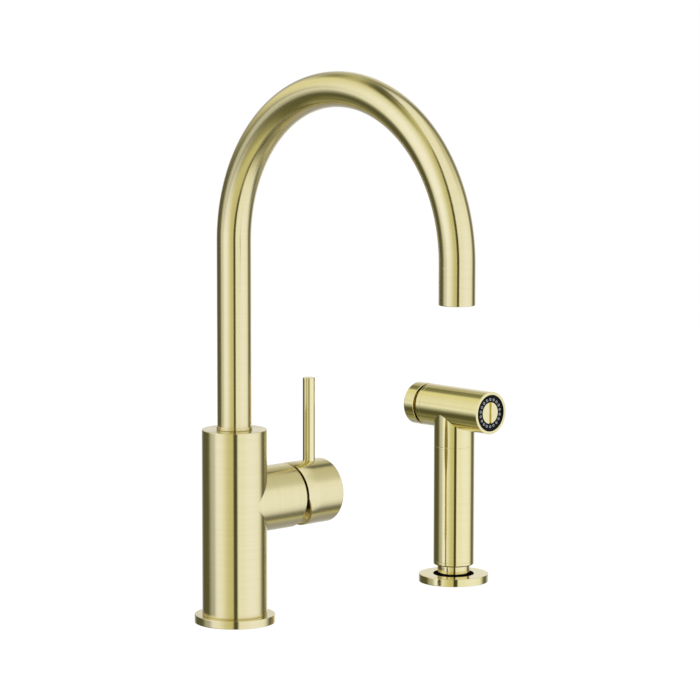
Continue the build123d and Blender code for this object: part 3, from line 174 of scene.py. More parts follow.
class Way(Enum):
    """Direction of a turning axis, with the direction in which its section is drawn."""

    ALONG_X = ((1, 0, 0), (0, 0, 1))
    ALONG_Y = ((0, 1, 0), (0, 0, 1))
    ALONG_Z = ((0, 0, 1), (1, 0, 0))

    @property
    def axis(self) -> Vector:
        """Unit vector along the axis."""
        return Vector(self.value[0])

    @property
    def out(self) -> Vector:
        """Unit vector from the axis to the section."""
        return Vector(self.value[1])


@dataclass(frozen=True)
class Corner:
    """Corner of a turned section: its radius, its place along the axis and how far it is eased."""

    radius: float
    along: float
    ease: float = 0.0


@dataclass(frozen=True)
class Spindle:
    """Axis that pieces are turned about."""

    way: Way
    x: float = 0.0
    y: float = 0.0
    z: float = 0.0

    @property
    def foot(self) -> Vector:
        """Point on the axis where the places along it start, in metres."""
        place = Vector((self.x, self.y, self.z))
        return (place - self.way.axis * place.dot(self.way.axis)) * MM

    def point(self, radius: float, along: float) -> Vector:
        """Point of the section, in metres."""
        return self.foot + (self.way.axis * along + self.way.out * radius) * MM

    def held(self, corners: list[Corner]) -> list[Corner]:
        """Adds a corner on each side of an eased one, so that its curve stays local.

        Args:
            corners: the section's corners.

        Returns:
            The same corners with the added ones between them.
        """
        loop = corners[0].radius > 0 and corners[-1].radius > 0
        result: list[Corner] = []
        for i, corner in enumerate(corners):
            here = Vector((corner.radius, corner.along))
            around = []
            for step in (-1, 1):
                j = i + step
                if not loop and not 0 <= j < len(corners):
                    around.append(None)
                    continue
                other = corners[j % len(corners)]
                way = Vector((other.radius, other.along)) - here
                reach = corner.ease + HOLD_REACH
                if corner.ease and way.length > reach + other.ease + HOLD_ROOM:
                    spot = here + way.normalized() * reach
                    around.append(Corner(spot.x, spot.y))
                else:
                    around.append(None)
            result += [around[0]] * (around[0] is not None) + [corner]
            result += [around[1]] * (around[1] is not None)
        return result

    def turn(self, name: str, corners: list[Corner], sides: int = 128) -> bpy.types.Object:
        """Turns a section into a closed piece.

        Args:
            name: the new object's name.
            corners: the section, a closed loop unless it starts or ends on the axis.
            sides: how many steps the turn has.

        Returns:
            The turned object, with its turning map.
        """
        corners = self.held(corners)
        spots = [self.point(c.radius, c.along) for c in corners]
        to_object_mode()
        bpy.ops.mesh.primitive_plane_add(size=MM, location=(0, 0, 0))
        piece = bpy.context.object
        piece.name = piece.data.name = name
        bpy.ops.object.mode_set(mode="EDIT")
        bpy.ops.mesh.select_mode(type="VERT")
        bpy.ops.mesh.select_all(action="SELECT")
        bpy.ops.mesh.merge(type="CENTER")
        bpy.ops.transform.translate(value=spots[0])
        for here, there in zip(spots, spots[1:]):
            bpy.ops.mesh.extrude_region_move(TRANSFORM_OT_translate={"value": there - here})
        if corners[0].radius > 0 and corners[-1].radius > 0:
            ends = (spots[0], spots[-1])
            pick(piece, lambda p: min((p - e).length for e in ends) < SAME_SPOT)
            bpy.ops.mesh.edge_face_add()
        for corner, spot in zip(corners, spots):
            if corner.ease and pick(piece, lambda p: (p - spot).length < SAME_SPOT):
                bpy.ops.mesh.bevel(
                    offset=corner.ease * MM,
                    segments=EASE_STEPS,
                    affect="VERTICES",
                    clamp_overlap=False,
                )
        bpy.ops.mesh.select_all(action="SELECT")
        bpy.ops.mesh.spin(
            steps=sides, angle=2 * math.pi, center=self.foot, axis=self.way.axis
        )
        close_and_face_out()
        to_object_mode()
        self.map_turning(piece)
        return piece

    def map_turning(self, piece: bpy.types.Object, wanted: Test | None = None) -> None:
        """Gives faces their turning map: U runs along the section and V round the axis.

        Args:
            piece: the object that gets the map.
            wanted: a test for the faces to map; all of them if there is none.
        """
        mesh = piece.data
        chart = mesh.uv_layers.get(TURNING_MAP) or mesh.uv_layers.new(name=TURNING_MAP)
        way, out = self.way.axis, self.way.out
        side = way.cross(out)
        for face in mesh.polygons:
            if wanted is not None and not wanted(face):
                continue
            middle = face.center - self.foot
            start = math.atan2(middle.dot(side), middle.dot(out))
            for loop in face.loop_indices:
                arm = mesh.vertices[mesh.loops[loop].vertex_index].co - self.foot
                along, a, b = arm.dot(way), arm.dot(out), arm.dot(side)
                radius = math.hypot(a, b)
                turned = math.atan2(b, a) - start if radius > SAME_SPOT else 0.0
                turned = (turned + math.pi) % (2 * math.pi) - math.pi
                chart.data[loop].uv = (
                    MAP_SCALE * (along + RADIUS_SHARE * radius),
                    (start + turned) / (2 * math.pi),
                )


@dataclass(frozen=True)
class Step:
    """One step of a stepped bore or shaft: its radius and where it ends along the axis."""

    radius: float
    end: float


@dataclass(frozen=True)
class Thread:
    """Screw thread, drawn as ridges round the axis."""

    radius: float
    pitch: float
    depth: float

    def cut(self, low: float, high: float) -> list[Corner]:
        """Corners of a threaded length of a section.

        Args:
            low: where the thread starts along the axis.
            high: where it ends.

        Returns:
            The corners from low to high, both at the root of a groove.
        """
        turns = max(1, round((high - low) / self.pitch))
        step = (high - low) / turns
        root = self.radius - self.depth
        corners = [Corner(root, low)]
        for i in range(turns):
            foot = low + i * step
            corners += [Corner(self.radius, foot + share * step) for share in CREST]
            corners.append(Corner(root, foot + step))
        return corners


def stepped(start: float, *steps: Step) -> list[Corner]:
    """Corners of a stepped bore or shaft.

    Args:
        start: where the first step begins along the axis.
        steps: the steps, each from the end of the one before it.

    Returns:
        The corners from the first step to the last.
    """
    corners = []
    for step in steps:
        corners += [Corner(step.radius, start), Corner(step.radius, step.end)]
        start = step.end
    return corners


def rod(radius: float, low: float, high: float) -> list[Corner]:
    """Corners of a plain rod's section, from the axis and back to it."""
    return [Corner(0, low), Corner(radius, low), Corner(radius, high), Corner(0, high)]


def groove(radius: float, root: float, low: float, high: float) -> list[Corner]:
    """Corners of a square groove round a shaft or a bore, from its first edge to its last."""
    return [Corner(radius, low), Corner(root, low), Corner(root, high), Corner(radius, high)]


def recess(face: float, roof: float, inner: float, outer: float) -> list[Corner]:
    """Corners of a square recess in a flat face, from its inner edge to its outer one."""
    return [Corner(inner, face), Corner(inner, roof), Corner(outer, roof), Corner(outer, face)]


COLUMN_AXIS = Spindle(Way.ALONG_Z)
HANDLE_AXIS = Spindle(Way.ALONG_X, z=77.5)
SPRAY_AXIS = Spindle(Way.ALONG_Z, x=200.0)
HEAD_AXIS = Spindle(Way.ALONG_Y, x=SPRAY_AXIS.x, z=119.5)


# ---- shader node groups -----------------------------------------------------------------------


def new_group(
    name: str, inputs: dict[str, tuple[str, float | None]], outputs: dict[str, str]
) -> tuple[bpy.types.NodeTree, bpy.types.Node, bpy.types.Node]:
    """Starts a shader node group.

    Args:
        name: the group's name.
        inputs: each input's name with its socket type and default value.
        outputs: each output's name with its socket type.

    Returns:
        The group's tree, its input node and its output node.
    """
    tree = bpy.data.node_groups.new(name, "ShaderNodeTree")
    for label, (kind, value) in inputs.items():
        socket = tree.interface.new_socket(name=label, in_out="INPUT", socket_type=kind)
        if value is not None:
            socket.default_value = value
    for label, kind in outputs.items():
        tree.interface.new_socket(name=label, in_out="OUTPUT", socket_type=kind)
    return tree, tree.nodes.new("NodeGroupInput"), tree.nodes.new("NodeGroupOutput")


class Bench:
    """Adds and links the nodes of one shader tree."""

    def __init__(self, tree: bpy.types.NodeTree) -> None:
        """Keeps the tree that the nodes go into."""
        self.tree = tree

    def add(
        self,
        kind: str,
        links: dict[str | int, Value] | None = None,
        **settings: str | bpy.types.NodeTree,
    ) -> bpy.types.Node:
        """Adds a node.

        Args:
            kind: the node's type.
            links: for each input, by name or number, a value or the socket that feeds it.
            settings: the node's own settings.

        Returns:
            The new node.
        """
        node = self.tree.nodes.new(kind)
        for label, value in settings.items():
            setattr(node, label, value)
        self.feed(node, links or {})
        return node

    def feed(self, node: bpy.types.Node, links: dict[str | int, Value]) -> None:
        """Sets or links the inputs of a node.

        Args:
            node: the node.
            links: for each input, by name or number, a value or the socket that feeds it.
        """
        for key, value in links.items():
            if isinstance(value, bpy.types.NodeSocket):
                self.tree.links.new(value, node.inputs[key])
            else:
                node.inputs[key].default_value = value

    def math(self, operation: str, *values: Value) -> bpy.types.NodeSocket:
        """Adds a Math node and returns its result."""
        links = dict(enumerate(values))
        return self.add("ShaderNodeMath", links, operation=operation).outputs[0]

    def vector(self, operation: str, *values: Value) -> bpy.types.NodeSocket:
        """Adds a Vector Math node and returns its result."""
        links = dict(enumerate(values))
        return self.add("ShaderNodeVectorMath", links, operation=operation).outputs[0]

    def ramp(
        self,
        value: Value,
        low: Value,
        high: Value,
        to_low: float = 0.0,
        to_high: float = 1.0,
        **settings: str,
    ) -> bpy.types.NodeSocket:
        """Adds a Map Range node and returns its result."""
        links = {0: value, 1: low, 2: high, 3: to_low, 4: to_high}
        return self.add("ShaderNodeMapRange", links, **settings).outputs[0]

    def blend(self, share: Value, first: Value, second: Value) -> bpy.types.NodeSocket:
        """Mixes two colours and returns the result."""
        links = {0: share, 6: first, 7: second}
        return self.add("ShaderNodeMix", links, data_type="RGBA").outputs[2]


def turned_grain_group() -> bpy.types.NodeTree:
    """Builds the fine lines that brushing leaves round a turned piece.

    Returns:
        A group with the lines' height, their tone and a slow unevenness, each from 0 to 1.
    """
    tree, given, result = new_group(
        "turned grain",
        {
            "Turning": ("NodeSocketVector", None),
            "Place": ("NodeSocketVector", None),
            "Line Density": ("NodeSocketFloat", 30.0),
            "Line Length": ("NodeSocketFloat", 22.0),
        },
        {"Height": "NodeSocketFloat", "Tone": "NodeSocketFloat", "Cloud": "NodeSocketFloat"},
    )
    bench = Bench(tree)
    across = bench.add("ShaderNodeSeparateXYZ", {0: given.outputs["Turning"]}).outputs[0]
    slow = bench.add(
        "ShaderNodeVectorMath",
        {0: given.outputs["Place"], "Scale": given.outputs["Line Length"]},
        operation="SCALE",
    ).outputs[0]
    dense = bench.math("MULTIPLY", across, given.outputs["Line Density"])
    lift = bench.add("ShaderNodeCombineXYZ", {0: dense, 1: 0.0, 2: 0.0}).outputs[0]
    lines = bench.add(
        "ShaderNodeTexNoise",
        {"Vector": bench.vector("ADD", slow, lift), "Scale": 1.0, "Detail": 3.0, "Roughness": 0.65},
    ).outputs[0]
    band_density, line_share, band_share = 0.22, 0.6, 0.4
    sparse = bench.math("MULTIPLY", dense, band_density)
    broad = bench.add("ShaderNodeCombineXYZ", {0: sparse}).outputs[0]
    bands = bench.add(
        "ShaderNodeTexNoise",
        {"Vector": bench.vector("ADD", slow, broad), "Scale": 1.0, "Detail": 2.0},
    ).outputs[0]
    cloud = bench.add(
        "ShaderNodeTexNoise",
        {"Vector": given.outputs["Place"], "Scale": 18.0, "Detail": 2.0},
    ).outputs[0]
    fine = bench.math("MULTIPLY", lines, line_share)
    tone = bench.math("ADD", fine, bench.math("MULTIPLY", bands, band_share))
    tree.links.new(lines, result.inputs["Height"])
    tree.links.new(bench.ramp(tone, *NOISE_RANGE), result.inputs["Tone"])
    tree.links.new(bench.ramp(cloud, *NOISE_RANGE), result.inputs["Cloud"])
    return tree


def moulded_skin_group() -> bpy.types.NodeTree:
    """Builds the fine uneven skin of moulded, sintered and cast parts.

    Returns:
        A group with the skin's height and a slow unevenness, each from 0 to 1.
    """
    tree, given, result = new_group(
        "moulded skin",
        {"Place": ("NodeSocketVector", None), "Grain Density": ("NodeSocketFloat", 1500.0)},
        {"Height": "NodeSocketFloat", "Cloud": "NodeSocketFloat"},
    )
    bench = Bench(tree)
    grain = bench.add(
        "ShaderNodeTexNoise",
        {"Vector": given.outputs["Place"], "Scale": given.outputs["Grain Density"], "Detail": 4.0},
    ).outputs[0]
    cloud = bench.add(
        "ShaderNodeTexNoise",
        {"Vector": given.outputs["Place"], "Scale": 70.0, "Detail": 3.0},
    ).outputs[0]
    tree.links.new(grain, result.inputs["Height"])
    tree.links.new(bench.ramp(cloud, *NOISE_RANGE), result.inputs["Cloud"])
    return tree


def soft_panel_group() -> bpy.types.NodeTree:
    """Builds the shape of one soft studio panel, seen by its direction.

    Returns:
        A group with a mask that is 1 inside the panel and fades at its edges.
    """
    numbers = ("Azimuth", "Elevation", "Half Width", "Half Height", "Side Fade", "End Fade")
    tree, given, result = new_group(
        "soft panel",
        {"Direction": ("NodeSocketVector", None)}
        | {label: ("NodeSocketFloat", 10.0) for label in numbers},
        {"Mask": "NodeSocketFloat"},
    )
    bench = Bench(tree)
    parts = bench.add("ShaderNodeSeparateXYZ", {0: given.outputs["Direction"]}).outputs
    around = bench.math("ARCTAN2", parts[0], bench.math("MULTIPLY", parts[1], -1.0))
    up = bench.math("ARCSINE", parts[2])
    masks = []
    for angle, centre, half, fade in (
        (around, "Azimuth", "Half Width", "Side Fade"),
        (up, "Elevation", "Half Height", "End Fade"),
    ):
        off = bench.math("SUBTRACT", bench.math("DEGREES", angle), given.outputs[centre])
        off = bench.math("ABSOLUTE", bench.math("WRAP", off, 180.0, -180.0))
        outer = bench.math("ADD", given.outputs[half], given.outputs[fade])
        inner = bench.math("SUBTRACT", given.outputs[half], given.outputs[fade])
        masks.append(bench.ramp(off, outer, inner, interpolation_type="SMOOTHSTEP"))
    tree.links.new(bench.math("MULTIPLY", *masks), result.inputs["Mask"])
    return tree


class Effects:
    """The shared node groups, each built once."""

    def __init__(self) -> None:
        """Builds the groups."""
        self.grain = turned_grain_group()
        self.skin = moulded_skin_group()
        self.panel = soft_panel_group()


# ---- finishes ---------------------------------------------------------------------------------


def new_material(name: str) -> tuple[bpy.types.Material, Bench, bpy.types.Node]:
    """Starts a material.

    Args:
        name: the material's name.

    Returns:
        The material, the bench for its nodes and its Principled BSDF.
    """
    material = bpy.data.materials.new(name)
    material.use_nodes = True
    shader = next(n for n in material.node_tree.nodes if n.type == "BSDF_PRINCIPLED")
    return material, Bench(material.node_tree), shader


def rgba(colour: Colour) -> tuple[float, float, float, float]:
    """Adds full opacity to a colour."""
    return (*colour, 1.0)


@dataclass(frozen=True)
class BrushedMetal:
    """Plated or bare metal with fine lines round its axis; lights stretch across the lines."""

    name: str
    light: Colour
    dark: Colour
    roughness: float = 0.17
    spread: float = 0.015
    stretch: float = 0.88
    line_density: float = 30.0
    relief: float = 0.008

    def material(self, effects: Effects) -> bpy.types.Material:
        """Builds the finish for pieces that have a turning map.

        Args:
            effects: the shared node groups.

        Returns:
            The material.
        """
        material, bench, shader = new_material(self.name)
        turning = bench.add("ShaderNodeUVMap", uv_map=TURNING_MAP).outputs[0]
        place = bench.add("ShaderNodeTexCoord").outputs["Object"]
        grain = bench.add(
            "ShaderNodeGroup",
            {"Turning": turning, "Place": place, "Line Density": self.line_density},
            node_tree=effects.grain,
        )
        colour = bench.blend(grain.outputs["Tone"], rgba(self.dark), rgba(self.light))
        low, high = self.roughness - self.spread, self.roughness + self.spread
        rough = bench.ramp(grain.outputs["Cloud"], 0.0, 1.0, low, high)
        bump = bench.add(
            "ShaderNodeBump",
            {"Strength": self.relief, "Distance": BUMP_DISTANCE, "Height": grain.outputs["Height"]},
        )
        tangent = bench.add("ShaderNodeTangent", direction_type="UV_MAP", uv_map=TURNING_MAP)
        bench.feed(
            shader,
            {
                "Base Color": colour,
                "Roughness": rough,
                "Normal": bump.outputs[0],
                "Tangent": tangent.outputs[0],
                "Metallic": 1.0,
                "Anisotropic": self.stretch,
            },
        )
        return material


@dataclass(frozen=True)
class Skinned:
    """Finish with a fine uneven skin on Object coordinates."""

    name: str
    light: Colour
    dark: Colour
    roughness: float
    relief: float
    spread: tuple[float, float]
    grain_density: float
    metallic: float = 0.0
    gloss: float = 0.5

    def material(self, effects: Effects) -> bpy.types.Material:
        """Builds the finish.

        Args:
            effects: the shared node groups.

        Returns:
            The material.
        """
        material, bench, shader = new_material(self.name)
        place = bench.add("ShaderNodeTexCoord").outputs["Object"]
        skin = bench.add(
            "ShaderNodeGroup",
            {"Place": place, "Grain Density": self.grain_density},
            node_tree=effects.skin,
        )
        colour = bench.blend(skin.outputs["Cloud"], rgba(self.dark), rgba(self.light))
        low, high = (self.roughness + change for change in self.spread)
        rough = bench.ramp(skin.outputs["Cloud"], 0.0, 1.0, low, high)
        bump = bench.add(
            "ShaderNodeBump",
            {"Strength": self.relief, "Distance": BUMP_DISTANCE, "Height": skin.outputs["Height"]},
        )
        bench.feed(
            shader,
            {
                "Base Color": colour,
                "Roughness": rough,
                "Normal": bump.outputs[0],
                "Metallic": self.metallic,
                "Specular IOR Level": self.gloss,
            },
        )
        return material


@dataclass(frozen=True)
class PlainMetal(Skinned):
    """Machined or drawn metal of the pieces inside and under the worktop."""

    roughness: float = 0.35
    relief: float = 0.15
    spread: tuple[float, float] = (0.06, -0.06)
    grain_density: float = 2200.0
    metallic: float = 1.0


@dataclass(frozen=True)
class Moulded(Skinned):
    """Plastic, rubber or ceramic with a fine moulded skin."""

    roughness: float = 0.45
    relief: float = 0.2
    spread: tuple[float, float] = (-0.05, 0.07)
    grain_density: float = 1500.0


class Finish(Enum):
    """The finishes that the faucet has, and a gold darkened as painted shade for the ball cover."""

    GOLD = BrushedMetal("brushed_gold", (0.745, 0.655, 0.355), (0.705, 0.615, 0.315))
    GOLD_FINE = BrushedMetal(
        "fine_brushed_gold", (0.76, 0.67, 0.335), (0.72, 0.63, 0.3), 0.09, 0.01, 0.7, 22.0, 0.003
    )
    GOLD_ROD = BrushedMetal(
        "brushed_gold_rod", (0.75, 0.665, 0.35), (0.74, 0.655, 0.34), 0.09, 0.004, 0.7, 8.0, 0.0005
    )
    # painted shade: gold darkened so that the ball cover under the handle shows the shade of the
    # gap it sits in
    GOLD_SHADE = BrushedMetal(
        "gold_darkened_for_painted_shade", (0.32, 0.26, 0.11), (0.27, 0.21, 0.085), 0.2, 0.02, 0.7, 22.0, 0.004
    )
    BRASS = PlainMetal("turned_brass", (0.78, 0.58, 0.28), (0.66, 0.47, 0.2), roughness=0.33)
    STEEL = PlainMetal("stainless_steel", (0.6, 0.6, 0.59), (0.48, 0.48, 0.47), roughness=0.32)
    WHITE_PLASTIC = Moulded("white_plastic", (0.78, 0.78, 0.76), (0.7, 0.7, 0.67))
    BLACK_PLASTIC = Moulded(
        "black_plastic", (0.003, 0.003, 0.003), (0.001, 0.001, 0.001), 0.35, 0.05, gloss=0.1
    )
    BLACK_MATT = Moulded(
        "matt_black_plastic", (0.006, 0.006, 0.006), (0.003, 0.003, 0.003), 0.85, 0.05, gloss=0.0
    )
    BLACK_RUBBER = Moulded(
        "black_rubber", (0.02, 0.02, 0.02), (0.012, 0.012, 0.012), roughness=0.62, gloss=0.3
    )
    GREY_RUBBER = Moulded(
        "grey_rubber", (0.46, 0.46, 0.46), (0.38, 0.38, 0.38), roughness=0.55, relief=0.1
    )
    CERAMIC = Moulded(
        "disc_ceramic", (0.82, 0.8, 0.76), (0.76, 0.74, 0.69), roughness=0.22, relief=0.05
    )


class Paints:
    """Makes each finish's material when it is first asked for."""

    def __init__(self, effects: Effects) -> None:
        """Keeps the shared effects."""
        self.effects = effects
        self.made: dict[Finish, bpy.types.Material] = {}

    def of(self, finish: Finish) -> bpy.types.Material:
        """Gives a finish's one material.

        Args:
            finish: the finish.

        Returns:
            The material, made now if it wasn't before.
        """
        if finish not in self.made:
            self.made[finish] = finish.value.material(self.effects)
        return self.made[finish]

    def put(self, piece: bpy.types.Object, finish: Finish) -> None:
        """Gives a new piece its one material."""
        piece.data.materials.clear()
        piece.data.materials.append(self.of(finish))

    def put_on_node(self, node: str, finish: Finish) -> None:
        """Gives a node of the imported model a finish."""
        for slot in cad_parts[node].material_slots:
            slot.material = self.of(finish)


class Assembly:
    """What every sub-assembly shares: how a new piece is finished and handed over."""

    def settle(
        self,
        piece: bpy.types.Object,
        body: str,
        slot: str,
        finish: Finish,
        paints: Paints,
        *nodes: str,
        angle: float = 32.0,
    ) -> bpy.types.Object:
        """Shades and paints a piece, lets it ride and names the nodes that it stands for.

        Args:
            piece: the new piece.
            body: the body that it moves with.
            slot: the record's material slot; not used.
            finish: its finish.
            paints: the materials.
            nodes: the nodes that it replaces.
            angle: edges sharper than this stay sharp, in degrees.

        Returns:
            The same piece.
        """
        smooth(piece, angle)
        paints.put(piece, finish)
        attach(piece, body)
        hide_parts(*nodes)
        log.info("%s: %d faces, for %s", piece.name, len(piece.data.polygons), ", ".join(nodes))
        return piece


# ---- mixer column -----------------------------------------------------------------------------


@dataclass
class MixerColumn(Assembly):
    """The base flange and the column with its side barrel."""

    radius: float = 21.0
    top: float = 125.5
    foot: float = 5.2
    register: float = 18.4
    register_low: float = 2.8
    register_gap: float = 0.1
    cavity: float = 16.5
    cavity_roof: float = 36.0
    mouth: Step = Step(11.3, 121.5)
    spout_socket: Step = Step(10.55, 103.0)
    diverter_bore: Step = Step(8.5, 89.5)
    chamber: Step = Step(5.5, 81.5)
    lock_z: float = 112.0
    lock_hole: float = 2.52
    lock_start: float = 8.0
    flange_radius: float = 26.0
    gasket_inner: float = 19.5
    gasket_outer: float = 23.5
    gasket_roof: float = 1.6
    barrel_end: float = 44.5
    nut_bore: Step = Step(18.2, 37.0)
    cartridge_bore: Step = Step(17.6, 15.0)
    sides: int = 192
    spindle: Spindle = COLUMN_AXIS
    barrel_spindle: Spindle = HANDLE_AXIS

    def flange(self) -> bpy.types.Object:
        """Turns the trim ring that the column stands in.

        Returns:
            The ring, with a recess for the gasket below.
        """
        ring = [
            Corner(self.cavity, 0),
            *recess(0, self.gasket_roof, self.gasket_inner, self.gasket_outer),
            Corner(self.flange_radius, 0, 0.15),
            Corner(self.flange_radius, self.foot, 0.25),
            Corner(self.register + self.register_gap, self.foot),
            Corner(self.register + self.register_gap, self.register_low),
            Corner(self.cavity, self.register_low),
        ]
        return self.spindle.turn("flange_ring", ring, 160)

    def column(self) -> bpy.types.Object:
        """Turns the column with its stepped bores and drills the lock screw's hole.

        Returns:
            The column, open where the barrel leaves it.
        """
        section = [
            Corner(0, self.cavity_roof),
            Corner(self.cavity, self.cavity_roof),
            Corner(self.cavity, self.register_low),
            Corner(self.register, self.register_low),
            Corner(self.register, self.foot),
            Corner(self.radius, self.foot, 0.15),
            Corner(self.radius, self.top, 0.3),
            *stepped(
                self.top, self.mouth, self.spout_socket, self.diverter_bore, self.chamber
            ),
            Corner(0, self.chamber.end),
        ]
        column = self.spindle.turn("column_casting", section, self.sides)
        hole = rod(self.lock_hole, self.lock_start, self.radius + OVERSHOOT)
        drill = Spindle(Way.ALONG_Y, z=self.lock_z).turn("drill", hole, 48)
        use_boolean(column, drill, "DIFFERENCE")
        self.split_at_mitre(column)
        skin = (self.radius - 0.2) * MM

        def under_barrel(face: bmesh.types.BMFace) -> bool:
            """Tells the faces of the column's outside that the barrel takes the place of."""
            middle = face.calc_center_median()
            return self.past_mitre(middle) and math.hypot(*middle.xy) > skin

        pick(column, under_barrel, "FACE")
        bpy.ops.mesh.delete(type="FACE")
        to_object_mode()
        return column

    def barrel(self) -> bpy.types.Object:
        """Turns the barrel's outside and mitres it to the column.

        Returns:
            The barrel's skin, open towards the column and at its mouth.
        """
        section = [
            Corner(self.radius, 0),
            Corner(self.radius, self.barrel_end, 0.45),
            Corner(self.nut_bore.radius, self.barrel_end),
        ]
        barrel = self.open_turn("barrel_outside", section)
        self.split_at_mitre(barrel)
        pick(barrel, lambda f: not self.past_mitre(f.calc_center_median()), "FACE")
        bpy.ops.mesh.delete(type="FACE")
        to_object_mode()
        return barrel

    def bore(self) -> bpy.types.Object:
        """Turns the stepped bore that takes the cartridge.

        Returns:
            The bore's skin, from the barrel's mouth to the cartridge's seat.
        """
        section = [
            *stepped(self.barrel_end, self.nut_bore, self.cartridge_bore),
            Corner(0, self.cartridge_bore.end),
        ]
        return self.barrel_spindle.turn("cartridge_bore", section, self.sides)

    def open_turn(self, name: str, corners: list[Corner]) -> bpy.types.Object:
        """Turns a section about the barrel's axis and takes out the face that closes its loop.

        Args:
            name: the new object's name.
            corners: the section, clear of the axis.

        Returns:
            The turned skin.
        """
        piece = self.barrel_spindle.turn(name, corners, self.sides)
        make_active(piece)
        bpy.ops.object.mode_set(mode="EDIT")
        low, high = sorted((corners[0].along, corners[-1].along))
        nearly_all = 0.9 * (high - low) * MM
        inner = (corners[-1].radius + 0.02) * MM
        axis = self.barrel_spindle.z * MM

        def closes(face: bmesh.types.BMFace) -> bool:
            """Tells the slanted faces between the section's two ends.

            Args:
                face: a face of the mesh.

            Returns:
                Whether the face is one of them.
            """
            spots = [math.hypot(v.co.y, v.co.z - axis) for v in face.verts]
            places = [v.co.x for v in face.verts]
            return max(places) - min(places) > nearly_all and min(spots) < inner

        pick(piece, closes, "FACE")
        bpy.ops.mesh.delete(type="FACE")
        to_object_mode()
        return piece

    def split_at_mitre(self, piece: bpy.types.Object) -> None:
        """Splits a piece along the two planes in which barrel and column meet.

        Args:
            piece: the object, which stays in edit mode.
        """
        make_active(piece)
        bpy.ops.object.mode_set(mode="EDIT")
        slant = math.sqrt(0.5)
        for up in (1, -1):
            bpy.ops.mesh.select_all(action="SELECT")
            bpy.ops.mesh.bisect(
                plane_co=(0, 0, self.barrel_spindle.z * MM),
                plane_no=(slant, 0, up * slant),
                threshold=CUT_THRESHOLD,
            )

    def past_mitre(self, point: Vector) -> bool:
        """Tells whether a point is on the barrel's side of the mitre planes."""
        return point.x > abs(point.z - self.barrel_spindle.z * MM)

    def casting(self) -> bpy.types.Object:
        """Joins column, barrel and bore into one casting with a sharp mitre line.

        Returns:
            The casting, with a turning map for each of its two axes.
        """
        casting = join(self.column(), self.barrel(), self.bore())
        casting.name = casting.data.name = "column_casting"
        skin = (self.radius - 0.05) * MM
        seat = (self.cartridge_bore.end - 0.1) * MM
        axis = self.barrel_spindle.z * MM

        def on_barrel(face: bpy.types.MeshPolygon) -> bool:
            """Tells the faces that were turned about the barrel's axis."""
            return self.past_mitre(face.center) and face.center.x > seat

        self.spindle.map_turning(casting, lambda face: not on_barrel(face))
        self.barrel_spindle.map_turning(casting, on_barrel)
        smooth(casting)
        bpy.ops.object.mode_set(mode="EDIT")

        def on_mitre(edge: bmesh.types.BMEdge) -> bool:
            """Tells the edges of the line where the two outsides meet."""
            return all(
                abs(v.co.x - abs(v.co.z - axis)) < ON_LINE and math.hypot(*v.co.xy) > skin
                for v in edge.verts
            )

        pick(casting, on_mitre, "EDGE")
        bpy.ops.mesh.mark_sharp()
        to_object_mode()
        return casting

    def build(self, paints: Paints) -> None:
        """Builds and dresses the flange and the casting.

        Args:
            paints: the materials.
        """
        gold = ("deck_set", "brushed_gold", Finish.GOLD, paints)
        self.settle(self.flange(), *gold, "base_flange")
        self.settle(self.casting(), *gold, "mixer_body")


# ---- spout ------------------------------------------------------------------------------------


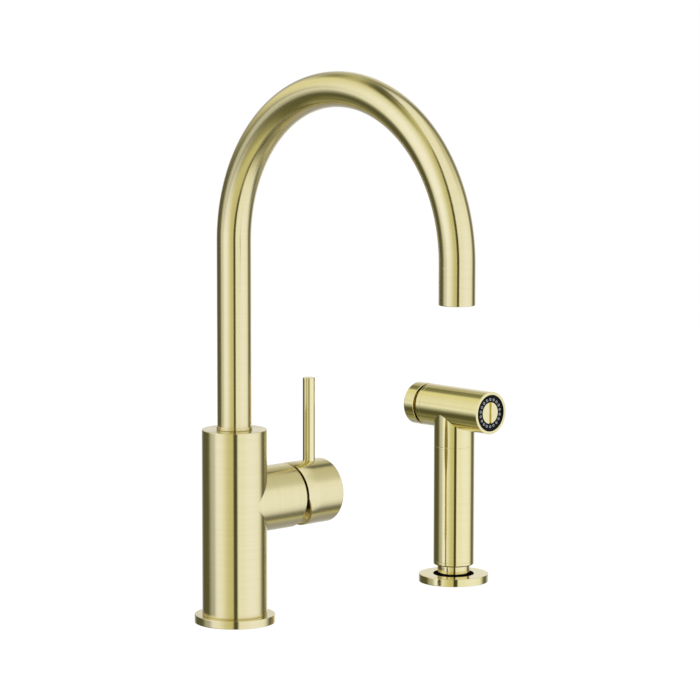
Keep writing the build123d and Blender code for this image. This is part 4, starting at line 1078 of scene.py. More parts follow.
@dataclass
class Spout(Assembly):
    """The turning spigot with its trim collar, the bent tube and the outlet."""

    radius: float = 11.0
    wall: float = 1.2
    tube_foot: float = 127.6
    bend_height: float = 247.0
    bend_radius: float = 100.0
    riser_steps: int = 4
    bend_steps: int = 128
    sides: int = 96
    collar_radius: float = 11.5
    collar_low: float = 125.6
    spigot: float = 10.45
    spigot_bore: float = 7.0
    spigot_foot: float = 103.5
    seal_groove: float = 9.03
    lower_seal: tuple[float, float] = (105.6, 107.4)
    upper_seal: tuple[float, float] = (117.1, 118.9)
    lock_groove: float = 9.2
    lock_span: tuple[float, float] = (110.0, 114.0)
    plug: float = 9.75
    plug_top: float = 139.6
    outlet: float = 222.6
    sleeve_top: float = 245.2
    sleeve_bore: float = 7.5
    sleeve_plug: Step = Step(9.4, 251.2)
    recess: Step = Step(9.3, 234.6)
    cup_thread: Thread = Thread(9.25, 0.8, 0.3)
    cup_bore: float = 7.95
    cup_mouth: float = 223.6
    cup_rim: float = 226.0
    cup_thread_span: tuple[float, float] = (226.4, 232.0)
    cup_shoulder: float = 232.4
    cup_top: float = 233.0
    spindle: Spindle = COLUMN_AXIS
    end_spindle: Spindle = Spindle(Way.ALONG_Z, y=-2 * bend_radius)

    def collar(self) -> bpy.types.Object:
        """Turns the spigot with its ring grooves, trim collar and plug.

        Returns:
            The spigot.
        """
        section = [
            Corner(self.spigot_bore, self.spigot_foot),
            Corner(self.spigot, self.spigot_foot, 0.3),
            *groove(self.spigot, self.seal_groove, *self.lower_seal),
            *groove(self.spigot, self.lock_groove, *self.lock_span),
            *groove(self.spigot, self.seal_groove, *self.upper_seal),
            Corner(self.spigot, self.collar_low),
            Corner(self.collar_radius, self.collar_low, 0.12),
            Corner(self.collar_radius, self.tube_foot, 0.2),
            Corner(self.plug, self.tube_foot),
            Corner(self.plug, self.plug_top, 0.3),
            Corner(self.spigot_bore, self.plug_top),
        ]
        return self.spindle.turn("spout_collar", section)

    def tube(self) -> bpy.types.Object:
        """Extrudes a circle up the riser, spins it over the bend and drops it to the outlet.

        Returns:
            The tube, with its wall and its turning map.
        """
        to_object_mode()
        bpy.ops.mesh.primitive_circle_add(
            vertices=self.sides, radius=self.radius * MM, location=(0, 0, 0)
        )
        tube = bpy.context.object
        tube.name = tube.data.name = "spout_pipe"
        bpy.ops.object.mode_set(mode="EDIT")
        bpy.ops.mesh.select_all(action="SELECT")
        bpy.ops.transform.translate(value=(0, 0, self.tube_foot * MM))
        rise = (self.bend_height - self.tube_foot) / self.riser_steps * MM
        for _ in range(self.riser_steps):
            bpy.ops.mesh.extrude_region_move(TRANSFORM_OT_translate={"value": (0, 0, rise)})
        bpy.ops.mesh.spin(
            steps=self.bend_steps,
            angle=math.pi,
            center=(0, -self.bend_radius * MM, self.bend_height * MM),
            axis=(-1, 0, 0),
        )
        drop = (self.sleeve_top - self.bend_height) * MM
        bpy.ops.mesh.extrude_region_move(TRANSFORM_OT_translate={"value": (0, 0, drop)})
        close_and_face_out()
        to_object_mode()
        make_active(tube)
        wall = tube.modifiers.new("wall", "SOLIDIFY")
        wall.thickness, wall.offset = self.wall * MM, -1.0
        bpy.ops.object.modifier_apply(modifier=wall.name)
        self.map_tube(tube)
        return tube

    def map_tube(self, tube: bpy.types.Object) -> None:
        """Gives the tube its turning map: U along its line and V round it.

        Args:
            tube: the tube.
        """
        mesh = tube.data
        chart = mesh.uv_layers.get(TURNING_MAP) or mesh.uv_layers.new(name=TURNING_MAP)
        bend, height = self.bend_radius * MM, self.bend_height * MM

        def laid_out(point: Vector) -> tuple[float, float]:
            """Finds the distance along the tube and the angle round it.

            Args:
                point: a point of the tube, in metres.

            Returns:
                The distance in metres and the angle in radians.
            """
            if point.z >= height:
                turned = math.atan2(point.z - height, point.y + bend)
                outward = math.hypot(point.z - height, point.y + bend) - bend
                return height + bend * turned, math.atan2(point.x, outward)
            if point.y > -bend:
                return point.z, math.atan2(point.x, point.y)
            past_bend = height + bend * math.pi + height - point.z
            return past_bend, math.atan2(point.x, -point.y - 2 * bend)

        for face in mesh.polygons:
            start = laid_out(face.center)[1]
            for loop in face.loop_indices:
                point = mesh.vertices[mesh.loops[loop].vertex_index].co
                along, round_it = laid_out(point)
                turned = (round_it - start + math.pi) % (2 * math.pi) - math.pi
                off_centre = math.hypot(*(point - face.center))
                chart.data[loop].uv = (
                    MAP_SCALE * (along + CENTRE_SHARE * off_centre),
                    (start + turned) / (2 * math.pi),
                )

    def sleeve(self) -> bpy.types.Object:
        """Turns the outlet's end piece.

        Returns:
            The end piece, with its plug in the tube and the aerator's recess.
        """
        section = [
            Corner(self.recess.radius, self.outlet, 0.12),
            Corner(self.radius, self.outlet, 0.2),
            Corner(self.radius, self.sleeve_top, 0.06),
            Corner(self.sleeve_plug.radius, self.sleeve_top),
            Corner(self.sleeve_plug.radius, self.sleeve_plug.end),
            Corner(self.sleeve_bore, self.sleeve_plug.end),
            Corner(self.sleeve_bore, self.recess.end),
            Corner(self.recess.radius, self.recess.end),
        ]
        return self.end_spindle.turn("outlet_end", section)

    def aerator(self) -> bpy.types.Object:
        """Turns the aerator's threaded cup, with a plain rim at its mouth.

        Returns:
            The cup.
        """
        outside = self.cup_thread.radius
        section = [
            Corner(self.cup_bore, self.cup_mouth, 0.2),
            Corner(outside, self.cup_mouth, 0.2),
            Corner(outside, self.cup_rim),
            *self.cup_thread.cut(*self.cup_thread_span),
            Corner(outside, self.cup_shoulder),
            Corner(outside, self.cup_top),
            Corner(self.cup_bore, self.cup_top),
        ]
        return self.end_spindle.turn("aerator_cup", section, 96)

    def build(self, paints: Paints) -> None:
        """Builds and dresses the spout's pieces.

        Args:
            paints: the materials.
        """
        gold = ("spout", "brushed_gold", Finish.GOLD, paints)
        self.settle(self.collar(), *gold, "spout_spigot")
        self.settle(self.tube(), *gold, "spout_tube")
        self.settle(self.sleeve(), *gold, "outlet_sleeve")
        self.settle(self.aerator(), *gold, "aerator_housing")


# ---- handle -----------------------------------------------------------------------------------


@dataclass
class Handle(Assembly):
    """The round cap on the barrel's end, its pin lever and the ball cover under it."""

    radius: float = 21.0
    start: float = 46.2
    end: float = 76.5
    cavity: float = 19.7
    floor: float = 56.4
    side_rings: tuple[float, float] = (57.4, 70.0)
    relief: float = 23.0
    mouth_bevel: float = 0.12
    lever_radius: float = 4.0
    lever_thread: Thread = Thread(3.0, 0.8, 0.3)
    lever_foot: float = 84.0
    lever_shoulder: float = 90.0
    lever_top: float = 153.0
    lever_hole: float = 4.02
    lever_hole_top: float = 100.0
    grub_hole: float = 2.52
    grub_span: tuple[float, float] = (50.0, 73.5)
    pivot: float = 36.8
    ball: float = 17.9
    cover_wall: float = 1.2
    cover_skirt: float = 16.2
    cover_hole: float = 11.5
    cover_foot: float = 41.5
    spindle: Spindle = HANDLE_AXIS
    lever_spindle: Spindle = Spindle(Way.ALONG_Z, x=65.0)
    grub_spindle: Spindle = Spindle(Way.ALONG_Z, x=61.0)

    def cap(self) -> bpy.types.Object:
        """Turns the cap, cuts its relief below and drills it for the lever and the grub screw.

        Returns:
            The cap.
        """
        section = [
            Corner(0, self.floor),
            Corner(self.cavity, self.floor),
            Corner(self.cavity, self.start),
            Corner(self.radius, self.start),
            *(Corner(self.radius, place) for place in self.side_rings),
            Corner(self.radius, self.end, 0.3),
            Corner(0, self.end),
        ]
        cap = self.spindle.turn("handle_shell", section, 192)
        self.cut_relief(cap)
        for spindle, radius, low, high in (
            (self.lever_spindle, self.lever_hole, self.lever_shoulder, self.lever_hole_top),
            (self.grub_spindle, self.grub_hole, *self.grub_span),
        ):
            drill = spindle.turn("drill", rod(radius, low, high), 64)
            use_boolean(cap, drill, "DIFFERENCE")
        self.spindle.map_turning(cap)
        return cap

    def cut_relief(self, cap: bpy.types.Object) -> None:
        """Cuts the slanted relief that lets the cap tilt, and bevels the mouth's outer edge.

        Args:
            cap: the turned cap.
        """
        lean = math.radians(self.relief)
        mouth, axis = self.start * MM, self.spindle.z * MM
        skin = (self.radius - 0.05) * MM
        make_active(cap)
        bpy.ops.object.mode_set(mode="EDIT")
        bpy.ops.mesh.select_all(action="SELECT")
        bpy.ops.mesh.bisect(
            plane_co=(mouth, 0, axis),
            plane_no=(math.cos(lean), 0, math.sin(lean)),
            use_fill=True,
            clear_inner=True,
            threshold=CUT_THRESHOLD,
        )
        close_and_face_out()

        def on_mouth(edge: bmesh.types.BMEdge) -> bool:
            """Tells the outer edges of the cap's open end.

            Args:
                edge: an edge of the cap.

            Returns:
                Whether the edge is one of them.
            """
            for v in edge.verts:
                off_cut = (v.co.x - mouth) * math.cos(lean) + (v.co.z - axis) * math.sin(lean)
                on_end = abs(v.co.x - mouth) < SAME_SPOT and v.co.z >= axis - SAME_SPOT
                if not (on_end or abs(off_cut) < SAME_SPOT):
                    return False
                if math.hypot(v.co.y, v.co.z - axis) < skin:
                    return False
            return True

        pick(cap, on_mouth, "EDGE")
        bpy.ops.mesh.bevel(
            offset=self.mouth_bevel * MM, segments=2, affect="EDGES", clamp_overlap=False
        )
        to_object_mode()

    def lever(self) -> bpy.types.Object:
        """Turns the straight pin lever with its threaded foot.

        Returns:
            The lever.
        """
        section = [
            Corner(0, self.lever_foot),
            *self.lever_thread.cut(self.lever_foot, self.lever_shoulder),
            Corner(self.lever_radius, self.lever_shoulder),
            Corner(self.lever_radius, self.lever_top, 0.35),
            Corner(0, self.lever_top),
        ]
        return self.lever_spindle.turn("lever_pin", section, 72)

    def cover(self) -> bpy.types.Object:
        """Turns the thin ball-shaped cover in the barrel's mouth.

        Returns:
            The cover.
        """
        inner_skirt = self.cover_skirt - self.cover_wall

        def arc(radius: float, start: float, end: float, steps: int = 10) -> list[Corner]:
            """Lays corners on a ball round the pivot, between two distances off the axis.

            Args:
                radius: the ball's radius.
                start: the first corner's distance off the axis.
                end: the last corner's distance.
                steps: how many steps lie between them.

            Returns:
                The corners.
            """
            first, last = math.asin(start / radius), math.asin(end / radius)
            angles = [first + (last - first) * i / steps for i in range(steps + 1)]
            return [
                Corner(radius * math.sin(a), self.pivot + radius * math.cos(a)) for a in angles
            ]

        section = [
            Corner(self.cover_skirt, self.cover_foot),
            *arc(self.ball, self.cover_skirt, self.cover_hole),
            *arc(self.ball - self.cover_wall, self.cover_hole, inner_skirt),
            Corner(inner_skirt, self.cover_foot),
        ]
        return self.spindle.turn("ball_cover", section, 160)

    def build(self, paints: Paints) -> None:
        """Builds and dresses the handle and its cover.

        Args:
            paints: the materials.
        """
        self.settle(self.cap(), "handle", "brushed_gold", Finish.GOLD, paints, "handle_cap")
        self.settle(self.lever(), "handle", "gold_steel", Finish.GOLD_ROD, paints, "lever_rod")
        # the ball cover gets the darkened gold, which paints the shade of the gap under the handle
        self.settle(self.cover(), "deck_set", "brushed_gold", Finish.GOLD_SHADE, paints, "dome")


# ---- side spray: holder and hose end ----------------------------------------------------------


@dataclass
class SprayHolder(Assembly):
    """The flange on the worktop with its shank, the guide bush and the hose connector."""

    flange_radius: float = 23.75
    flange_height: float = 5.2
    gasket_inner: float = 18.3
    gasket_outer: float = 21.7
    gasket_roof: float = 1.6
    shank_thread: Thread = Thread(15.9, 1.5, 0.7)
    shank_span: tuple[float, float] = (-45.0, -3.0)
    shank_shoulder: float = -2.6
    bore: float = 13.0
    lip_radius: float = 13.85
    lip_gap: float = 0.05
    lip_floor: float = 2.7
    lip_top: float = 5.6
    bush_radius: float = 12.95
    bush_foot: float = -22.0
    bush_foot_bore: float = 10.3
    guide: Step = Step(11.3, -18.0)
    hose_bore: float = 4.5
    hose_thread: Thread = Thread(6.6, 1.0, 0.45)
    hose_span: tuple[float, float] = (-44.0, -32.6)
    hose_shoulder: float = -32.0
    cone_foot: float = -30.0
    cone_top: float = -18.0
    neck: Step = Step(11.0, 11.3)
    swivel: Step = Step(8.0, 32.0)
    clip_groove: float = 7.15
    clip_span: tuple[float, float] = (15.8, 17.6)
    seal_groove: float = 6.6
    seal_span: tuple[float, float] = (25.2, 26.8)
    spindle: Spindle = SPRAY_AXIS

    def holder(self) -> bpy.types.Object:
        """Turns the flange and the threaded shank in one piece.

        Returns:
            The holder.
        """
        shank = self.shank_thread.radius
        section = [
            Corner(self.bore, self.shank_span[0]),
            *self.shank_thread.cut(*self.shank_span),
            Corner(shank, self.shank_shoulder),
            Corner(shank, 0),
            *recess(0, self.gasket_roof, self.gasket_inner, self.gasket_outer),
            Corner(self.flange_radius, 0, 0.15),
            Corner(self.flange_radius, self.flange_height, 0.25),
            Corner(self.lip_radius + self.lip_gap, self.flange_height, 0.1),
            Corner(self.lip_radius + self.lip_gap, self.lip_floor),
            Corner(self.bore, self.lip_floor),
        ]
        return self.spindle.turn("holder_flange", section, 160)

    def bush(self) -> bpy.types.Object:
        """Turns the plastic liner with its rounded lip and inner cone.

        Returns:
            The liner.
        """
        section = [
            Corner(self.bush_foot_bore, self.bush_foot),
            Corner(self.bush_radius, self.bush_foot),
            Corner(self.bush_radius, self.lip_floor),
            Corner(self.lip_radius, self.lip_floor),
            Corner(self.lip_radius, self.lip_top, 0.35),
            Corner(self.guide.radius, self.lip_top, 0.35),
            Corner(self.guide.radius, self.guide.end),
        ]
        return self.spindle.turn("guide_liner", section)

    def connector(self) -> bpy.types.Object:
        """Turns the hose connector: thread, cone, neck and grooved swivel spigot.

        Returns:
            The connector.
        """
        swivel = self.swivel.radius
        section = [
            Corner(self.hose_bore, self.hose_span[0]),
            *self.hose_thread.cut(*self.hose_span),
            Corner(self.hose_thread.radius, self.hose_shoulder),
            Corner(swivel, self.cone_foot),
            Corner(self.neck.radius, self.cone_top),
            Corner(self.neck.radius, self.neck.end, 0.3),
            Corner(swivel, self.neck.end),
            *groove(swivel, self.clip_groove, *self.clip_span),
            *groove(swivel, self.seal_groove, *self.seal_span),
            Corner(swivel, self.swivel.end, 0.3),
            Corner(self.hose_bore, self.swivel.end),
        ]
        return self.spindle.turn("connector_neck", section)

    def build(self, paints: Paints) -> None:
        """Builds and dresses the holder's pieces.

        Args:
            paints: the materials.
        """
        gold = ("brushed_gold", Finish.GOLD_FINE, paints)
        black = ("black_plastic", Finish.BLACK_MATT, paints)
        self.settle(self.holder(), "deck_set", *gold, "spray_holder")
        self.settle(self.bush(), "deck_set", *black, "guide_bush")
        self.settle(self.connector(), "hose_end", *gold, "hose_connector")


# ---- side spray: handset ----------------------------------------------------------------------


@dataclass
class Handset(Assembly):
    """The grip, the head that lies across its top and the ring behind it."""

    grip: float = 13.85
    grip_bore: float = 12.35
    low: float = 11.6
    collar_line: float = 14.0
    high: float = 93.6
    chamfer: float = 0.7
    plug: float = 12.3
    plug_top: float = 38.0
    swivel_bore: Step = Step(8.05, 34.0)
    clip_groove: float = 9.0
    clip_span: tuple[float, float] = (17.35, 16.05)
    water_bore: float = 6.05
    head: float = 14.35
    front: float = -34.5
    back: float = 20.2
    side_rings: tuple[float, float] = (-15.2, 15.2)
    stub_foot: float = 84.0
    seam_foot: float = 104.5
    face_bore: Step = Step(12.45, -24.0)
    front_chamber: Step = Step(9.0, -12.0)
    seat_bore: Step = Step(7.0, -8.0)
    inlet: Step = Step(6.5, 2.0)
    cylinder: Step = Step(5.1, 10.0)
    spring_pocket: Step = Step(9.0, 14.0)
    back_bore: float = 12.0
    riser_foot: float = 80.0
    riser_socket: Step = Step(6.05, 96.0)
    riser: Step = Step(3.0, 116.0)
    ring_thread: float = 11.95
    ring_foot: float = 14.2
    ring_bore: float = 11.3
    ring_guide: float = 10.3
    ring_shoulder: float = 19.0
    ring_end: float = 23.5
    spindle: Spindle = SPRAY_AXIS
    head_spindle: Spindle = HEAD_AXIS

    def collar(self) -> bpy.types.Object:
        """Turns the grip's end ring with its bearing sleeve.

        Returns:
            The end ring.
        """
        section = [
            Corner(self.swivel_bore.radius, self.low),
            Corner(self.grip - self.chamfer, self.low, 0.1),
            Corner(self.grip, self.low + self.chamfer, 0.12),
            Corner(self.grip, self.collar_line, 0.08),
            Corner(self.plug, self.collar_line),
            Corner(self.plug, self.plug_top),
            Corner(self.water_bore, self.plug_top),
            Corner(self.water_bore, self.swivel_bore.end),
            Corner(self.swivel_bore.radius, self.swivel_bore.end),
            *groove(self.swivel_bore.radius, self.clip_groove, *self.clip_span),
        ]
        return self.spindle.turn("grip_end", section)

    def tube(self) -> bpy.types.Object:
        """Turns the plain tube of the grip.

        Returns:
            The tube.
        """
        section = [
            Corner(self.grip_bore, self.collar_line),
            Corner(self.grip, self.collar_line, 0.1),
            Corner(self.grip, self.high, 0.1),
            Corner(self.grip_bore, self.high),
        ]
        return self.spindle.turn("grip_sleeve", section, 192)

    def head_body(self) -> bpy.types.Object:
        """Turns the head and the stub under it, joins them and bores the head.

        Returns:
            The head, with a turning map for each of its two axes.
        """
        head_z = self.head_spindle.z
        outside = [
            Corner(0, self.front),
            Corner(self.head, self.front, 0.2),
            *(Corner(self.head, place) for place in self.side_rings),
            Corner(self.head, self.back, 0.06),
            Corner(0, self.back),
        ]
        head = self.head_spindle.turn("spray_head", outside, 192)
        stub = [
            Corner(0, self.stub_foot),
            Corner(self.plug, self.stub_foot),
            Corner(self.plug, self.high),
            Corner(self.grip, self.high, 0.06),
            Corner(self.grip, head_z),
            Corner(0, head_z),
        ]
        use_boolean(head, self.spindle.turn("stub", stub, 192), "UNION")
        mouth, rear = self.front - OVERSHOOT, self.back + OVERSHOOT
        bores = [
            Corner(0, mouth),
            *stepped(
                mouth,
                self.face_bore,
                self.front_chamber,
                self.seat_bore,
                self.inlet,
                self.cylinder,
                self.spring_pocket,
                Step(self.back_bore, rear),
            ),
            Corner(0, rear),
        ]
        use_boolean(head, self.head_spindle.turn("bores", bores, 128), "DIFFERENCE")
        riser = [
            Corner(0, self.riser_foot),
            *stepped(self.riser_foot, self.riser_socket, self.riser),
            Corner(0, self.riser.end),
        ]
        use_boolean(head, self.spindle.turn("riser", riser, 64), "DIFFERENCE")
        head.name = head.data.name = "spray_head"
        self.map_head(head)
        return head

    def map_head(self, head: bpy.types.Object) -> None:
        """Maps the head about its own axis and the stub about the grip's, and marks their seam.

        Args:
            head: the head with its stub.
        """
        axis_x, axis_z = self.head_spindle.x * MM, self.head_spindle.z * MM
        clear, close = (self.head + 0.4) * MM, (self.head + 0.25) * MM
        seam_foot = self.seam_foot * MM

        def on_stub(face: bpy.types.MeshPolygon) -> bool:
            """Tells the faces that were turned about the grip's axis.

            Args:
                face: a face of the mesh.

            Returns:
                Whether the face is one of them.
            """
            middle = face.center
            off_head = math.hypot(middle.x - axis_x, middle.z - axis_z)
            return off_head > clear or (middle.z < seam_foot and off_head > close)

        self.head_spindle.map_turning(head, lambda face: not on_stub(face))
        self.spindle.map_turning(head, on_stub)
        smooth(head)
        bpy.ops.object.mode_set(mode="EDIT")

        def on_seam(edge: bmesh.types.BMEdge) -> bool:
            """Tells the edges of the line where stub and head meet.

            Args:
                edge: an edge of the head.

            Returns:
                Whether the edge is one of them.
            """
            for v in edge.verts:
                off_head = abs(math.hypot(v.co.x - axis_x, v.co.z - axis_z) - self.head * MM)
                off_grip = abs(math.hypot(v.co.x - axis_x, v.co.y) - self.grip * MM)
                if max(off_head, off_grip) > 2 * ON_LINE:
                    return False
            return True

        log.info("seam of the head: %d edges", pick(head, on_seam, "EDGE"))
        bpy.ops.mesh.mark_sharp()
        to_object_mode()

    def rear_ring(self) -> bpy.types.Object:
        """Turns the ring that closes the head behind.

        Returns:
            The ring.
        """
        section = [
            Corner(self.ring_thread, self.ring_foot),
            Corner(self.ring_thread, self.back),
            Corner(self.head, self.back, 0.1),
            Corner(self.head, self.ring_end, 0.3),
            Corner(self.ring_guide, self.ring_end, 0.15),
            Corner(self.ring_guide, self.ring_shoulder),
            Corner(self.ring_bore, self.ring_shoulder),
            Corner(self.ring_bore, self.ring_foot),
        ]
        return self.head_spindle.turn("head_ring", section, 160)

    def build(self, paints: Paints) -> None:
        """Builds and dresses the handset's outer pieces.

        Args:
            paints: the materials.
        """
        gold = ("handset", "brushed_gold", Finish.GOLD_FINE, paints)
        self.settle(self.collar(), *gold, "grip_collar")
        self.settle(self.tube(), *gold, "grip_tube")
        self.settle(self.head_body(), *gold, "spray_body")
        self.settle(self.rear_ring(), *gold, "rear_ring")


@dataclass
class PushButton(Assembly):
    """The round button behind the head."""

    radius: float = 14.35
    front: float = 25.85
    back: float = 34.8
    hole: Step = Step(2.02, 31.5)
    slide: float = 10.0
    slide_bore: float = 7.5
    slide_roof: float = 22.85
    lip: float = 11.0
    lip_span: tuple[float, float] = (16.7, 18.7)
    spindle: Spindle = HEAD_AXIS

    def cap(self) -> bpy.types.Object:
        """Turns the button's cap with its blind threaded hole.

        Returns:
            The cap.
        """
        section = [
            Corner(0, self.hole.end),
            Corner(self.hole.radius, self.hole.end),
            Corner(self.hole.radius, self.front),
            Corner(self.radius, self.front, 0.35),
            Corner(self.radius, self.back, 0.35),
            Corner(0, self.back),
        ]
        return self.spindle.turn("push_button", section, 160)

    def sleeve(self) -> bpy.types.Object:
        """Turns the sleeve on which the button slides in the ring behind the head.

        Returns:
            The sleeve.
        """
        lip_front, lip_back = self.lip_span
        section = [
            Corner(self.slide_bore, lip_front),
            Corner(self.lip, lip_front, 0.15),
            Corner(self.lip, lip_back, 0.15),
            Corner(self.slide, lip_back),
            Corner(self.slide, self.front),
            Corner(self.hole.radius, self.front),
            Corner(self.hole.radius, self.slide_roof),
            Corner(self.slide_bore, self.slide_roof),
        ]
        return self.spindle.turn("button_slide", section, 128)

    def build(self, paints: Paints) -> None:
        """Builds and dresses the button.

        Args:
            paints: the materials.
        """
        gold = ("spray_button", "brushed_gold", Finish.GOLD_FINE, paints)
        self.settle(self.cap(), *gold, "button_cap")
        self.settle(self.sleeve(), *gold, "button_sleeve")


@dataclass
class SprayFace(Assembly):
    """The black face plate, its rubber nozzles and the slotted disc in the middle."""

    plate_radius: float = 12.4
    plate_front: float = -33.8
    plate_back: float = -29.0
    plate_hole: float = 1.7
    recess_gap: float = 0.05
    ridge: float = 11.15
    ridge_width: float = 0.5
    ridge_height: float = 0.3
    mat_inner: float = 3.5
    mat_front: float = -28.9
    mat_back: float = -27.4
    nozzle_circle: float = 9.25
    nozzle_radius: float = 0.95
    nozzle_hole: float = 0.45
    nozzle_hole_depth: float = 1.5
    nozzle_tip: float = -34.2
    nozzle_chamfer: float = 0.2
    nozzle_sink: float = 0.12
    nozzle_count: int = 18
    disc_radius: float = 7.3
    disc_front: float = -34.1
    disc_back: float = -31.6
    slot_width: float = 1.9
    slot_depth: float = 1.9
    screw_thread: Thread = Thread(1.6, 0.7, 0.25)
    thread_runout: float = 0.3
    thread_end: float = -20.9
    screw_tip: Step = Step(1.35, -20.6)
    spindle: Spindle = HEAD_AXIS

    def plate(self) -> bpy.types.Object:
        """Turns the plate with its fine ridge and the recess for the disc.

        Returns:
            The plate.
        """
        half = self.ridge_width / 2
        top = self.plate_front - self.ridge_height
        recess = self.disc_radius + self.recess_gap
        section = [
            Corner(self.plate_hole, self.plate_back),
            Corner(self.plate_hole, self.disc_back),
            Corner(recess, self.disc_back),
            Corner(recess, self.plate_front, 0.12),
            Corner(self.ridge - half, self.plate_front),
            Corner(self.ridge - half, top, 0.08),
            Corner(self.ridge + half, top, 0.08),
            Corner(self.ridge + half, self.plate_front),
            Corner(self.plate_radius, self.plate_front, 0.15),
            Corner(self.plate_radius, self.plate_back),
        ]
        return self.spindle.turn("face_plate", section, 144)

    def nozzle(self) -> bpy.types.Object:
        """Turns one nozzle with its rounded tip and hole, at the top of the ring.

        Returns:
            The nozzle.
        """
        tip = self.nozzle_tip
        section = [
            Corner(0, tip + self.nozzle_hole_depth),
            Corner(self.nozzle_hole, tip + self.nozzle_hole_depth),
            Corner(self.nozzle_hole, tip + self.nozzle_sink, 0.05),
            Corner(self.nozzle_radius - self.nozzle_chamfer, tip, 0.08),
            Corner(self.nozzle_radius, tip + self.nozzle_chamfer, 0.08),
            Corner(self.nozzle_radius, self.mat_front),
            Corner(0, self.mat_front),
        ]
        spindle = Spindle(Way.ALONG_Y, x=self.spindle.x, z=self.spindle.z + self.nozzle_circle)
        return spindle.turn("nozzle", section, 28)

    def nozzles(self) -> bpy.types.Object:
        """Copies the nozzle round the ring and joins the copies to the rubber mat behind them.

        Returns:
            The mat with its nozzles.
        """
        first = self.nozzle()
        section = [
            Corner(self.mat_inner, self.mat_front),
            Corner(self.plate_radius, self.mat_front),
            Corner(self.plate_radius, self.mat_back),
            Corner(self.mat_inner, self.mat_back),
        ]
        mat = self.spindle.turn("nozzle_mat", section, 96)
        copies = []
        for i in range(self.nozzle_count):
            copy = first.copy()
            copy.data = first.data.copy()
            bpy.context.collection.objects.link(copy)
            make_active(copy)
            bpy.ops.object.mode_set(mode="EDIT")
            bpy.ops.mesh.select_all(action="SELECT")
            bpy.ops.transform.rotate(
                value=2 * math.pi * i / self.nozzle_count,
                orient_axis="Y",
                center_override=(self.spindle.x * MM, 0, self.spindle.z * MM),
            )
            to_object_mode()
            copies.append(copy)
        bpy.data.objects.remove(first, do_unlink=True)
        ring = join(mat, *copies)
        ring.name = ring.data.name = "nozzle_ring"
        self.spindle.map_turning(ring)
        return ring

    def screw(self) -> bpy.types.Object:
        """Turns the wide disc with its shank and cuts its slot.

        Returns:
            The screw.
        """
        section = [
            Corner(0, self.disc_front),
            Corner(self.disc_radius, self.disc_front, 0.2),
            Corner(self.disc_radius, self.disc_back),
            Corner(self.screw_thread.radius, self.disc_back),
            *self.screw_thread.cut(self.disc_back + self.thread_runout, self.thread_end),
            Corner(self.screw_tip.radius, self.screw_tip.end),
            Corner(0, self.screw_tip.end),
        ]
        disc = self.spindle.turn("face_disc", section, 128)
        to_object_mode()
        bpy.ops.mesh.primitive_cube_add(size=MM)
        slot = bpy.context.object
        bpy.ops.object.mode_set(mode="EDIT")
        bpy.ops.mesh.select_all(action="SELECT")
        bpy.ops.transform.resize(
            value=(self.slot_width, 2 * self.slot_depth, 3 * self.disc_radius)
        )
        bpy.ops.transform.translate(
            value=(self.spindle.x * MM, self.disc_front * MM, self.spindle.z * MM)
        )
        to_object_mode()
        use_boolean(disc, slot, "DIFFERENCE")
        self.spindle.map_turning(disc)
        return disc

    def build(self, paints: Paints) -> None:
        """Builds and dresses the face.

        Args:
            paints: the materials.
        """
        black = ("handset", "black_plastic", Finish.BLACK_PLASTIC, paints)
        grey = ("handset", "grey_rubber", Finish.GREY_RUBBER, paints)
        gold = ("handset", "gold_steel", Finish.GOLD_ROD, paints)
        self.settle(self.plate(), *black, "nozzle_plate")
        self.settle(self.nozzles(), *grey, "spray_nozzles")
        self.settle(self.screw(), *gold, "face_screw")


# ---- under the worktop ------------------------------------------------------------------------


@dataclass
class Fixings(Assembly):
    """The threaded stud and the hose tails under the column."""

    stud_x: float = 12.0
    stud_thread: Thread = Thread(4.0, 1.25, 0.6)
    stud_low: float = -66.0
    stud_high: float = 50.0
    tail_radius: float = 5.0
    tail_thread: Thread = Thread(4.5, 1.0, 0.4)
    tail_bore: float = 3.2
    tail_low: float = -40.0
    tail_shoulder: float = 36.0
    tail_top: float = 48.0
    thread_runout: float = 0.4
    port_spread: float = 7.5
    spray_port: float = -10.0

    def stud(self) -> bpy.types.Object:
        """Turns the stud with its thread.

        Returns:
            The stud.
        """
        section = [
            Corner(0, self.stud_low),
            *self.stud_thread.cut(self.stud_low, self.stud_high),
            Corner(0, self.stud_high),
        ]
        return Spindle(Way.ALONG_Z, x=self.stud_x).turn("threaded_stud", section, 48)

    def tail(self, name: str, x: float, y: float) -> bpy.types.Object:
        """Turns a hose tail.

        Args:
            name: the new object's name.
            x: the tail's place across the column.
            y: the tail's place towards the back.

        Returns:
            The tail.
        """
        section = [
            Corner(self.tail_bore, self.tail_low, 0.2),
            Corner(self.tail_radius, self.tail_low, 0.4),
            Corner(self.tail_radius, self.tail_shoulder, 0.2),
            *self.tail_thread.cut(self.tail_shoulder + self.thread_runout, self.tail_top),
            Corner(self.tail_bore, self.tail_top),
        ]
        return Spindle(Way.ALONG_Z, x=x, y=y).turn(name, section, 64)

    def build(self, paints: Paints) -> None:
        """Builds and dresses the stud and the tails.

        Args:
            paints: the materials.
        """
        self.settle(self.stud(), "deck_set", "steel", Finish.STEEL, paints, "mounting_stud")
        brass = ("deck_set", "raw_brass", Finish.BRASS, paints)
        pair = join(
            self.tail("supply_pair", 0.0, -self.port_spread),
            self.tail("supply_back", 0.0, self.port_spread),
        )
        self.settle(pair, *brass, "supply_tails")
        self.settle(self.tail("spray_tail", self.spray_port, 0.0), *brass, "spray_hose_tail")


# ---- pieces that keep their own mesh ----------------------------------------------------------


